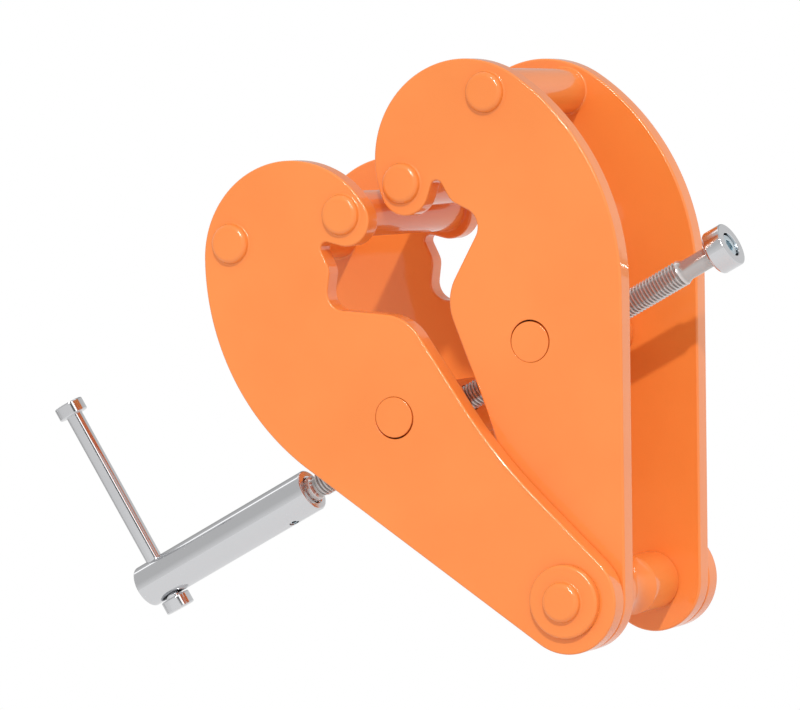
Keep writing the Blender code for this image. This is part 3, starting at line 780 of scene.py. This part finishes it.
def finish(name, make, *details):
    """Return a material by its name, made from its details the first time that it is asked for."""
    return bpy.data.materials.get(name) or make(name, *details)


def paint_of(settings):
    """Return the enamel."""
    return finish("orange_enamel", enamel, settings.paint)


def spindle_bright(settings):
    """Return the bright steel of what is turned about the spindle's axis."""
    return finish("bright_steel_spindle", bright_steel, settings.steel, spindle_places)


def tommy_bright(settings):
    """Return the bright steel of what is turned about the tommy bar's axis."""
    return finish("bright_steel_tommy", bright_steel, settings.steel, tommy_places)


def blued_of(settings):
    """Return the blue plated steel."""
    return finish("blued_steel", blued_steel, settings.steel)


# Pieces


class CLAMP_OT_jaw_plates(bpy.types.Operator):
    """Model one jaw plate and copy it to the four places"""

    bl_idname = "clamp.jaw_plates"
    bl_label = "Jaw plates"

    def execute(self, context):
        settings = context.scene.beam_clamp
        plates = settings.plates
        inside, outside = span("inner_plate_front")
        first = self.model(plates, "inner_plate_front", -outside, -inside)
        outer_inside, outer_outside = span("outer_plate_front")
        across = Vector((-1.0, 1.0, 1.0))
        copies = {"inner_plate_rear": ((0.0, inside + outside, 0.0), (1.0, 1.0, 1.0)),
                  "outer_plate_front": ((0.0, outside - outer_outside, 0.0), across),
                  "outer_plate_rear": ((0.0, outside + outer_inside, 0.0), across)}
        made = [first]
        for node, (move, mirror) in copies.items():
            made.append(copied(first, node + LOOK, move, mirror))
        for piece in made:
            jaw = piece.name.split("_")[0]
            play = PLAY_TOWARDS[jaw] * plates.trunnion_play
            self.drill_trunnion(plates, piece, TRUNNIONS[jaw] + play)
            dress(piece, paint_of(settings), f"{jaw}_jaw")
        return {"FINISHED"}

    def model(self, plates, node, low, high):
        """Draw the outline, thicken it, round its edges and drill its holes."""
        outline = [from_jaw(point, low) for point in plate_outline(plates)]
        piece = drawn_loop(node + LOOK, outline)
        bpy.ops.mesh.edge_face_add()
        bpy.ops.mesh.extrude_region_move(TRANSFORM_OT_translate={"value": (0.0, high - low, 0.0)})
        close_shell()
        apply_modifier(piece, "BEVEL", width=plates.edge_round, segments=BEVEL_SEGMENTS,
                       limit_method="ANGLE", angle_limit=EDGE_ANGLE, use_clamp_overlap=False)
        holes = ((PIVOT, plates.pin_hole), (middle("inner_nose_bar"), plates.rivet_hole),
                 (middle("inner_crown_bar"), plates.rivet_hole))
        for place, diameter in holes:
            centre = Vector((place.x, 0.0, place.z))
            profile = flared(diameter / 2, low, high, plates.hole_flare)
            cut(piece, turned("hole", profile, centre, ALONG_PIN))
        return piece

    def drill_trunnion(self, plates, piece, centre):
        """Drill the hole that the nut's trunnion hangs in, a little off the trunnion's centre."""
        low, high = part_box(piece.name.removesuffix(LOOK))
        profile = flared(plates.trunnion_hole / 2, low.y, high.y, plates.hole_flare)
        cut(piece, turned("hole", profile, centre, ALONG_PIN))


class CLAMP_OT_jaw_bars(bpy.types.Operator):
    """Model a riveted bar for each jaw and copy it from the nose to the crown"""

    bl_idname = "clamp.jaw_bars"
    bl_label = "Nose and crown bars"

    def execute(self, context):
        settings = context.scene.beam_clamp
        for jaw in ("inner", "outer"):
            nose = self.model(settings.bars, jaw)
            move = middle(f"{jaw}_crown_bar") - middle(f"{jaw}_nose_bar")
            crown = copied(nose, f"{jaw}_crown_bar{LOOK}", move)
            for piece in (nose, crown):
                dress(piece, paint_of(settings), f"{jaw}_jaw")
        return {"FINISHED"}

    def model(self, bars, jaw):
        """Turn the bar with its tenons, riveted heads and the paint gathered at their feet."""
        inside, outside = span(f"{jaw}_plate_front")
        node = f"{jaw}_nose_bar"
        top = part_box(node)[1].y
        radius, foot = bars.bar_diameter / 2, bars.paint_fillet
        half = [(radius, 0.0)]
        half += quarter(radius + foot, inside - foot, foot, 180, 90)
        half += [(radius + foot, inside + SINK), (bars.tenon_diameter / 2, inside + SINK),
                 (bars.tenon_diameter / 2, outside - SINK)]
        half += riveted_end(bars.head_diameter / 2, outside, top, bars.head_round, foot)
        return turned(node + LOOK, mirrored(half), middle(node), ALONG_PIN)


class CLAMP_OT_trunnion_nuts(bpy.types.Operator):
    """Turn the cross nut of each jaw and bore it for the spindle"""

    bl_idname = "clamp.trunnion_nuts"
    bl_label = "Trunnion nuts"

    def execute(self, context):
        settings = context.scene.beam_clamp
        for jaw, centre in TRUNNIONS.items():
            nut = self.model(settings.bars, jaw, centre)
            dress(nut, paint_of(settings), f"{jaw}_nut")
        return {"FINISHED"}

    def model(self, bars, jaw, centre):
        """Turn the nut with its trunnions and cut the bore across it."""
        shoulder = span(f"{jaw}_plate_front")[0] - bars.nut_gap
        node = f"{jaw}_trunnion_nut"
        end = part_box(node)[1].y
        radius, edge = bars.nut_diameter / 2, bars.nut_edge
        neck, rim = bars.trunnion_diameter / 2, bars.trunnion_edge
        half = [(radius, 0.0)]
        half += quarter(radius - edge, shoulder - edge, edge, 0, 90)
        half += [(neck, shoulder)]
        half += quarter(neck - rim, end - rim, rim, 0, 90)
        half += [(0.0, end)]
        nut = turned(node + LOOK, mirrored(half), centre, ALONG_PIN)
        reach = radius + OVERRUN
        cut(nut, turned("bore", rod(bars.thread_bore / 2, -reach, reach), centre, ALONG_SPINDLE))
        return nut


class CLAMP_OT_load_pin(bpy.types.Operator):
    """Turn the waisted load pin, and a washer for each of its ends"""

    bl_idname = "clamp.load_pin"
    bl_label = "Load pin and washers"

    def execute(self, context):
        settings = context.scene.beam_clamp
        paint = paint_of(settings)
        dress(self.pin(settings.pin), paint, "load_pin")
        rear = self.washer(settings.pin)
        front = copied(rear, "load_pin_washer_front" + LOOK, mirror=(1.0, -1.0, 1.0))
        for piece in (rear, front):
            dress(piece, paint, "load_pin")
        return {"FINISHED"}

    def pin(self, sizes):
        """Turn the pin from its waist out to its riveted ends."""
        collar_out = span("inner_plate_front")[0] - sizes.collar_gap
        seat = span("load_pin_washer_rear")[1]
        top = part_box("load_pin")[1].y
        waist, collar, edge = sizes.waist_diameter / 2, sizes.collar_diameter / 2, sizes.collar_edge
        reach, depth = sizes.groove_width / 2, collar - waist
        hollow = (reach ** 2 + depth ** 2) / (2 * depth)
        half = []
        for step in range(GROOVE_STEPS + 1):
            place = reach * step / GROOVE_STEPS
            half.append((waist + hollow - math.sqrt(hollow ** 2 - place ** 2), place))
        half += quarter(collar - edge, collar_out - edge, edge, 0, 90)
        half += [(sizes.journal_diameter / 2, collar_out), (sizes.journal_diameter / 2, seat - SINK)]
        half += riveted_end(sizes.head_diameter / 2, seat, top, sizes.head_round, sizes.paint_fillet)
        return turned("load_pin" + LOOK, mirrored(half), PIVOT, ALONG_PIN)

    def washer(self, sizes):
        """Turn the rear washer."""
        low, high = span("load_pin_washer_rear")
        bore, rim = sizes.journal_diameter / 2 + SINK, sizes.washer_diameter / 2
        edge = sizes.washer_edge
        profile = [(bore, low), (rim, low)]
        profile += quarter(rim - edge, high - edge, edge, 0, 90)
        profile += [(bore, high)]
        return turned("load_pin_washer_rear" + LOOK, profile, PIVOT, ALONG_PIN, ring=True)


class CLAMP_OT_spindle(bpy.types.Operator):
    """Turn the spindle's core and wind a left-hand and a right-hand thread on it"""

    bl_idname = "clamp.spindle"
    bl_label = "Spindle"

    def execute(self, context):
        settings = context.scene.beam_clamp
        sizes = settings.spindle
        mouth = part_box("handle")[1].x
        core = self.core(sizes, mouth)
        threads = [self.thread(sizes, sizes.neck / 2, sizes.thread_end - sizes.end_cone / 2, 1.0),
                   self.thread(sizes, -sizes.neck / 2, mouth + sizes.mouth_plain, -1.0)]
        choose(core)
        for thread in threads:
            thread.select_set(True)
        bpy.ops.object.join()
        material = finish("spindle_steel", thread_steel, settings.steel, sizes)
        dress(core, material, "spindle")
        return {"FINISHED"}

    def core(self, sizes, mouth):
        """Turn the spindle at its thread's root, with its plain ends, shank and tapped hole."""
        crest = sizes.diameter / 2
        root = crest - sizes.depth
        start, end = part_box("spindle")[0].x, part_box("spindle")[1].x
        cone = sizes.thread_end - sizes.end_cone
        shank, tap = sizes.shank_diameter / 2, sizes.tap_diameter / 2
        plain = mouth + sizes.mouth_plain
        profile = [(0.0, start), (root, start), (crest, start + sizes.depth),
                   (crest, plain), (root, plain + sizes.depth),
                   (root, cone - sizes.depth), (crest, cone),
                   (shank, sizes.thread_end), (shank, end), (tap, end),
                   (tap, end - sizes.tap_depth), (0.0, end - sizes.tap_depth)]
        return turned("spindle" + LOOK, profile, SPINDLE, ALONG_SPINDLE)

    def thread(self, sizes, start, end, hand):
        """Wind a thread's ridge between two places, faded out over a turn at both ends."""
        crest = sizes.diameter / 2
        foot = crest - sizes.depth - 2 * SINK
        half_foot, half_crest = (sizes.pitch - sizes.root) / 2, sizes.crest / 2
        corners = [(foot, -half_foot), (crest, -half_crest), (crest, half_crest), (foot, half_foot)]
        ridge = drawn_loop("thread", [Vector((place, 0.0, radius)) for radius, place in corners])
        bpy.ops.object.mode_set(mode="OBJECT")
        turns = int(abs(end - start) / sizes.pitch)
        apply_modifier(ridge, "SCREW", axis="X", angle=hand * math.tau, iterations=turns,
                       screw_offset=math.copysign(sizes.pitch, end - start),
                       steps=THREAD_STEPS, render_steps=THREAD_STEPS)
        bpy.ops.object.mode_set(mode="EDIT")
        rings = turns * THREAD_STEPS
        for step in range(THREAD_STEPS):
            low = foot / crest
            narrow = low + (1.0 - low) * step / THREAD_STEPS
            self.shrink_ring(ridge, step, len(corners), narrow)
            self.shrink_ring(ridge, rings - step, len(corners), narrow)
        bpy.ops.mesh.select_all(action="SELECT")
        bpy.ops.mesh.fill_holes(sides=len(corners))
        close_shell()
        ridge.location = SPINDLE + ALONG_SPINDLE * start
        choose(ridge)
        bpy.ops.object.transform_apply(location=True, rotation=True, scale=True)
        return ridge

    def shrink_ring(self, ridge, ring, count, narrow):
        """Draw one section of a ridge in towards the axis."""
        bpy.ops.mesh.select_all(action="DESELECT")
        shape = bmesh.from_edit_mesh(ridge.data)
        shape.verts.ensure_lookup_table()
        for index in range(ring * count, (ring + 1) * count):
            shape.verts[index].select_set(True)
        bmesh.update_edit_mesh(ridge.data)
        bpy.ops.transform.resize(value=(1.0, narrow, narrow), center_override=(0.0, 0.0, 0.0))


class CLAMP_OT_end_cap(bpy.types.Operator):
    """Turn the stop cap and the socket screw that holds it"""

    bl_idname = "clamp.end_cap"
    bl_label = "End cap and screw"

    def execute(self, context):
        settings = context.scene.beam_clamp
        dress(self.cap(settings.spindle), spindle_bright(settings), "end_cap")
        dress(self.screw(settings.spindle), blued_of(settings), "spindle")
        return {"FINISHED"}

    def cap(self, sizes):
        """Turn the cap with its seat, web and counterbore."""
        rear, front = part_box("end_cap")[0].x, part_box("end_cap")[1].x
        rim, rounding, edge = sizes.cap_diameter / 2, sizes.cap_rear_round, sizes.cap_front_edge
        web_in = rear + sizes.cap_socket
        web_out = web_in + sizes.cap_web
        recess, hole, bore = sizes.counterbore / 2, sizes.screw_hole / 2, sizes.cap_bore / 2
        profile = [(bore, rear)]
        profile += quarter(rim - rounding, rear + rounding, rounding, 270, 360)
        profile += quarter(rim - edge, front - edge, edge, 0, 90)
        profile += [(recess + edge / 2, front), (recess, front - edge / 2), (recess, web_out),
                    (hole, web_out), (hole, web_in), (bore, web_in)]
        return turned("end_cap" + LOOK, profile, SPINDLE, ALONG_SPINDLE, ring=True)

    def screw(self, sizes):
        """Turn the screw and cut its hexagon socket."""
        tip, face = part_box("end_screw")[0].x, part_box("end_screw")[1].x
        seat = face - sizes.screw_head_height
        head, edge, stem = sizes.screw_head / 2, sizes.screw_edge, sizes.screw_diameter / 2
        profile = [(0.0, tip), (stem, tip), (stem, seat), (head, seat)]
        profile += quarter(head - edge, face - edge, edge, 0, 90)
        profile += [(0.0, face)]
        screw = turned("end_screw" + LOOK, profile, SPINDLE, ALONG_SPINDLE, SMALL_TURN_STEPS)
        corner = sizes.key_width / math.sqrt(3)
        floor, rim = face - sizes.key_depth, face - edge / 2
        socket = [(0.0, floor), (corner, floor), (corner, rim),
                  (corner + OVERRUN, rim + OVERRUN), (0.0, rim + OVERRUN)]
        cut(screw, turned("key_socket", socket, SPINDLE, ALONG_SPINDLE, HEXAGON_SIDES))
        return screw


class CLAMP_OT_handle(bpy.types.Operator):
    """Turn the handle, drill its cross holes and roll the pin that holds it"""

    bl_idname = "clamp.handle"
    bl_label = "Handle and roll pin"

    def execute(self, context):
        settings = context.scene.beam_clamp
        sizes = settings.handle
        across = Quaternion(ALONG_SPINDLE, -sizes.pin_tilt) @ Vector((0.0, 0.0, 1.0))
        dress(self.handle(sizes, across), spindle_bright(settings), "spindle")
        dress(self.roll_pin(sizes, across), blued_of(settings), "spindle")
        return {"FINISHED"}

    def handle(self, sizes, pin_axis):
        """Turn the handle with its bore and drill it for the roll pin and the tommy bar."""
        end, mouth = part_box("handle")[0].x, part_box("handle")[1].x
        radius, edge, bore = sizes.diameter / 2, sizes.edge, sizes.bore / 2
        floor = mouth - sizes.bore_depth
        profile = [(0.0, end)]
        profile += quarter(radius - edge, end + edge, edge, 270, 360)
        profile += quarter(radius - edge, mouth - edge, edge, 0, 90)
        profile += [(bore + sizes.mouth_chamfer, mouth), (bore, mouth - sizes.mouth_chamfer),
                    (bore, floor), (0.0, floor)]
        piece = turned("handle" + LOOK, profile, SPINDLE, ALONG_SPINDLE)
        reach = radius + OVERRUN
        drill = rod(sizes.pin_hole / 2, -reach, reach)
        cut(piece, turned("pin_hole", drill, middle("roll_pin"), pin_axis))
        centre = SPINDLE.copy()
        centre.x = middle("tommy_bar").x
        profile = flared(sizes.tommy_hole / 2, -radius, radius, sizes.tommy_flare)
        cut(piece, turned("tommy_hole", profile, centre, ALONG_TOMMY))
        return piece

    def roll_pin(self, sizes, along):
        """Roll the slotted pin from a strip that leaves its slot open."""
        centre = middle("roll_pin")
        outer = sizes.pin_diameter / 2
        inner = outer - sizes.pin_wall
        reach = sizes.diameter / 2 - sizes.pin_recess
        corners = [(inner, -reach), (outer, -reach), (outer, reach), (inner, reach)]
        piece = drawn_loop("roll_pin" + LOOK, beside_axis(corners, centre, along))
        slot = sizes.pin_slot / outer
        bpy.ops.mesh.spin(steps=SMALL_TURN_STEPS, angle=math.tau - slot, center=centre, axis=along)
        bpy.ops.mesh.select_all(action="SELECT")
        bpy.ops.mesh.fill_holes(sides=len(corners))
        close_shell()
        return piece


class CLAMP_OT_tommy_bar(bpy.types.Operator):
    """Turn the tommy bar and the head on each of its ends"""

    bl_idname = "clamp.tommy_bar"
    bl_label = "Tommy bar"

    def execute(self, context):
        settings = context.scene.beam_clamp
        steel = tommy_bright(settings)
        sizes = settings.handle
        upper, lower = middle("tommy_head_upper"), middle("tommy_head_lower")
        half = (upper - lower).length / 2 + sizes.head_socket - sizes.head_length / 2 - sizes.head_gap
        radius, edge = sizes.tommy_diameter / 2, sizes.head_edge / 2
        profile = [(0.0, -half), (radius - edge, -half), (radius, edge - half),
                   (radius, half - edge), (radius - edge, half), (0.0, half)]
        bar = turned("tommy_bar" + LOOK, profile, (upper + lower) / 2, ALONG_TOMMY, SMALL_TURN_STEPS)
        dress(bar, steel, "tommy_bar")
        for node, place in (("tommy_head_upper", upper), ("tommy_head_lower", lower)):
            dress(self.head(sizes, node, place), steel, "tommy_bar")
        return {"FINISHED"}

    def head(self, sizes, node, centre):
        """Turn a head with its hole towards the middle of the bar."""
        inward = ALONG_TOMMY if node.endswith("lower") else -ALONG_TOMMY
        half, rim, edge = sizes.head_length / 2, sizes.head_diameter / 2, sizes.head_edge
        hole = sizes.tommy_diameter / 2 + sizes.head_gap
        profile = [(0.0, -half)]
        profile += quarter(rim - edge, edge - half, edge, 270, 360)
        profile += quarter(rim - edge, half - edge, edge, 0, 90)
        profile += [(hole, half), (hole, half - sizes.head_socket), (0.0, half - sizes.head_socket)]
        return turned(node + LOOK, profile, centre, inward)


# Stage

# Light of the hood round the spindle: degrees from the front upwards, share of the hood's light.
# These are painted reflections, since the hood lights nothing; the bright band from 100 to 104 degrees
# is a painted highlight.
HOOD_LEVELS = ((-180.0, 0.46), (-150.0, 0.42), (-105.0, 0.40), (-60.0, 0.49), (0.0, 0.42), (28.0, 0.32),
               (96.0, 0.32), (100.0, 0.90), (104.0, 0.90), (108.0, 0.33), (150.0, 0.20), (180.0, 0.46))

# Cards of painted highlights, shown in gloss and steel alone and lighting nothing, and one dark card of
# painted dark reflection:
# name, direction from the clamp, width and height as shares of their distance, and brightness
PAINTED_GLINTS = (("key_card", Vector((0.536, -0.736, 0.412)), 0.10, 0.45, 45.0),
          ("side_card", Vector((0.635, -0.757, 0.156)), 0.08, 0.08, 30.0),
          ("strip_card", Vector((0.837, -0.483, 0.259)), 0.16, 1.10, 2.2),
          ("dark_card", Vector((0.681, -0.730, -0.052)), 0.26, 0.26, 0.02))

# Key lamp: where it hangs, and the direction that its light comes from
KEY_PLACE = Vector((1.0, -1.4, 0.8))
KEY_TOWARDS = Vector((30.2, -37.3, 19.8))

FLOOR_LEVEL = 0.9


def grey(level):
    """Return an opaque grey."""
    return (level, level, level, 1.0)


def bare_material(name):
    """Return a material without a shader, its node tree and its output's surface."""
    material, tree, shader = new_material(name)
    tree.nodes.remove(shader)
    return material, tree, tree.nodes["Material Output"].inputs["Surface"]


def seen_directly(tree):
    """Return 1 for what the camera sees, directly or in metal or glass, and 0 for other light."""
    path = add_node(tree, "ShaderNodeLightPath").outputs
    mirrored_too = maths(tree, "MAXIMUM", path["Is Camera Ray"], path["Is Glossy Ray"])
    return maths(tree, "MAXIMUM", mirrored_too, path["Is Transmission Ray"])


class CLAMP_OT_stage(bpy.types.Operator):
    """Set the camera, the floor, the hood and cards of painted reflections and highlights, the key lamp
    and the world
    """

    bl_idname = "clamp.stage"
    bl_label = "Stage"

    def execute(self, context):
        stage = context.scene.beam_clamp.stage
        context.scene.view_settings.view_transform = "Standard"
        self.camera(context, stage)
        self.floor(stage)
        self.hood(stage)
        self.painted_glints(stage)
        self.key(stage)
        self.world(context, stage)
        return {"FINISHED"}

    def aim(self, stage):
        """Return the place that the camera looks at."""
        return Vector((stage.aim_x, stage.aim_y, stage.aim_z))

    def camera(self, context, stage):
        """Aim the camera at the clamp from the photograph's angle."""
        level = math.cos(stage.elevation)
        back = Vector((math.sin(stage.azimuth) * level, -math.cos(stage.azimuth) * level,
                       math.sin(stage.elevation)))
        bpy.ops.object.camera_add(location=self.aim(stage) + back * stage.distance)
        camera = context.object
        camera.rotation_mode = "QUATERNION"
        rolled = Quaternion((0.0, 0.0, 1.0), -stage.roll)
        camera.rotation_quaternion = (-back).to_track_quat("-Z", "Y") @ rolled
        camera.data.lens = stage.lens
        context.scene.camera = camera

    def floor(self, stage):
        """Lay a pale floor that shows from above only."""
        low = CAD_BOX[0].z - stage.floor_gap
        bpy.ops.mesh.primitive_plane_add(size=stage.floor_size, location=(0.0, 0.0, low))
        floor = bpy.context.object
        floor.name = "floor"
        floor.data.materials.append(self.floor_material(stage))

    def floor_material(self, stage):
        """Return a white floor that keeps part of the shadow and is clear from below."""
        material, tree, surface = bare_material("pale_floor")
        white = add_node(tree, "ShaderNodeEmission", {"Color": grey(1.0), "Strength": 1.0}).outputs[0]
        matt = add_node(tree, "ShaderNodeBsdfDiffuse", {"Color": grey(FLOOR_LEVEL)}).outputs[0]
        clear = add_node(tree, "ShaderNodeBsdfTransparent").outputs[0]
        shown = maths(tree, "MULTIPLY", seen_directly(tree), 1.0 - stage.floor_shadow)
        top = add_node(tree, "ShaderNodeMixShader", {0: shown, 1: matt, 2: white}).outputs[0]
        below = add_node(tree, "ShaderNodeNewGeometry").outputs["Backfacing"]
        whole = add_node(tree, "ShaderNodeMixShader", {0: below, 1: top, 2: clear}).outputs[0]
        tree.links.new(whole, surface)
        return material

    def hood(self, stage):
        """Close a round hood about the clamp for gloss and steel to reflect, graded round X. Its grades
        are painted reflections, for it lights nothing.
        """
        bpy.ops.mesh.primitive_uv_sphere_add(radius=stage.hood_radius, location=self.aim(stage))
        material, tree, surface = bare_material("studio_hood")
        place = add_node(tree, "ShaderNodeTexCoord").outputs["Object"]
        parts = add_node(tree, "ShaderNodeSeparateXYZ", {0: place}).outputs
        around = maths(tree, "ARCTAN2", parts["Z"], maths(tree, "MULTIPLY", parts["Y"], -1.0))
        turned_by = ranged(tree, around, -math.pi, math.pi, 0.0, 1.0)
        ramp = add_node(tree, "ShaderNodeValToRGB", {0: turned_by})
        stops = ramp.color_ramp.elements
        stops[0].color = grey(HOOD_LEVELS[0][1])
        stops[1].color = grey(HOOD_LEVELS[-1][1])
        for degrees, level in HOOD_LEVELS[1:-1]:
            stops.new(degrees / 360.0 + 0.5).color = grey(level)
        inputs = {"Color": ramp.outputs[0], "Strength": stage.hood_light}
        tree.links.new(add_node(tree, "ShaderNodeEmission", inputs).outputs[0], surface)
        self.only_in_gloss("studio_hood", material)

    def painted_glints(self, stage):
        """Hang bright cards of painted highlights, and a dark one of painted dark reflection, that show
        on round edges and bright steel and light nothing.
        """
        for name, towards, width, height, brightness in PAINTED_GLINTS:
            material, tree, surface = bare_material(name)
            glow = add_node(tree, "ShaderNodeEmission", {"Strength": brightness})
            tree.links.new(glow.outputs[0], surface)
            side, reach = towards.normalized(), stage.glint_distance
            bpy.ops.mesh.primitive_plane_add(size=1.0, location=self.aim(stage) + side * reach,
                                             rotation=side.to_track_quat("Z", "Y").to_euler())
            bpy.context.object.scale = (width * reach, height * reach, 1.0)
            self.only_in_gloss(name, material)

    def only_in_gloss(self, name, material):
        """Let the new stage object show in reflections alone."""
        card = bpy.context.object
        card.name = name
        card.data.materials.append(material)
        card.visible_camera = False
        card.visible_diffuse = False
        card.visible_shadow = False
        card.visible_transmission = False

    def key(self, stage):
        """Hang the key lamp to the right, in front and above."""
        bpy.ops.object.light_add(type="SUN", location=KEY_PLACE)
        lamp = bpy.context.object
        lamp.name = "key_lamp"
        lamp.rotation_mode = "QUATERNION"
        lamp.rotation_quaternion = KEY_TOWARDS.to_track_quat("Z", "Y")
        lamp.data.energy = stage.key_strength
        lamp.data.angle = stage.key_spread

    def world(self, context, stage):
        """Surround the clamp with white that lights it at the ambient strength."""
        world = bpy.data.worlds.new("white_room")
        world.use_nodes = True
        tree = world.node_tree
        direct = seen_directly(tree)
        strength = add_node(tree, "ShaderNodeMix", {0: direct, 2: stage.ambient, 3: 1.0}).outputs[0]
        background = tree.nodes["Background"]
        set_sockets(background, {"Color": grey(1.0)})
        tree.links.new(strength, background.inputs["Strength"])
        context.scene.world = world


PIECE_OPERATORS = (
    CLAMP_OT_jaw_plates,
    CLAMP_OT_jaw_bars,
    CLAMP_OT_trunnion_nuts,
    CLAMP_OT_load_pin,
    CLAMP_OT_spindle,
    CLAMP_OT_end_cap,
    CLAMP_OT_handle,
    CLAMP_OT_tommy_bar,
    CLAMP_OT_stage,
)


class CLAMP_PT_pieces(bpy.types.Panel):
    """Lists the clamp's operators in the sidebar"""

    bl_idname = "CLAMP_PT_pieces"
    bl_label = "Beam clamp"
    bl_space_type = "VIEW_3D"
    bl_region_type = "UI"
    bl_category = "Clamp"

    def draw(self, context):
        for operator in PIECE_OPERATORS:
            self.layout.operator(operator.bl_idname)


SETTING_GROUPS = (JawPlateSizes, BarSizes, LoadPinSizes, SpindleSizes, HandleSizes,
                  PaintFinish, SteelFinish, StageSettings, ClampSettings)
CLASSES = SETTING_GROUPS + PIECE_OPERATORS + (CLAMP_PT_pieces,)


def register():
    """Register the settings, the operators and the panel."""
    for cls in CLASSES:
        bpy.utils.register_class(cls)
    bpy.types.Scene.beam_clamp = bpy.props.PointerProperty(type=ClampSettings, name="Beam clamp")


def unregister():
    """Remove the settings, the operators and the panel."""
    del bpy.types.Scene.beam_clamp
    for cls in reversed(CLASSES):
        bpy.utils.unregister_class(cls)


def main():
    """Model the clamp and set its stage."""
    register()
    for operator in PIECE_OPERATORS:
        group, name = operator.bl_idname.split(".")
        getattr(getattr(bpy.ops, group), name)()


if __name__ == "__main__":
    main()
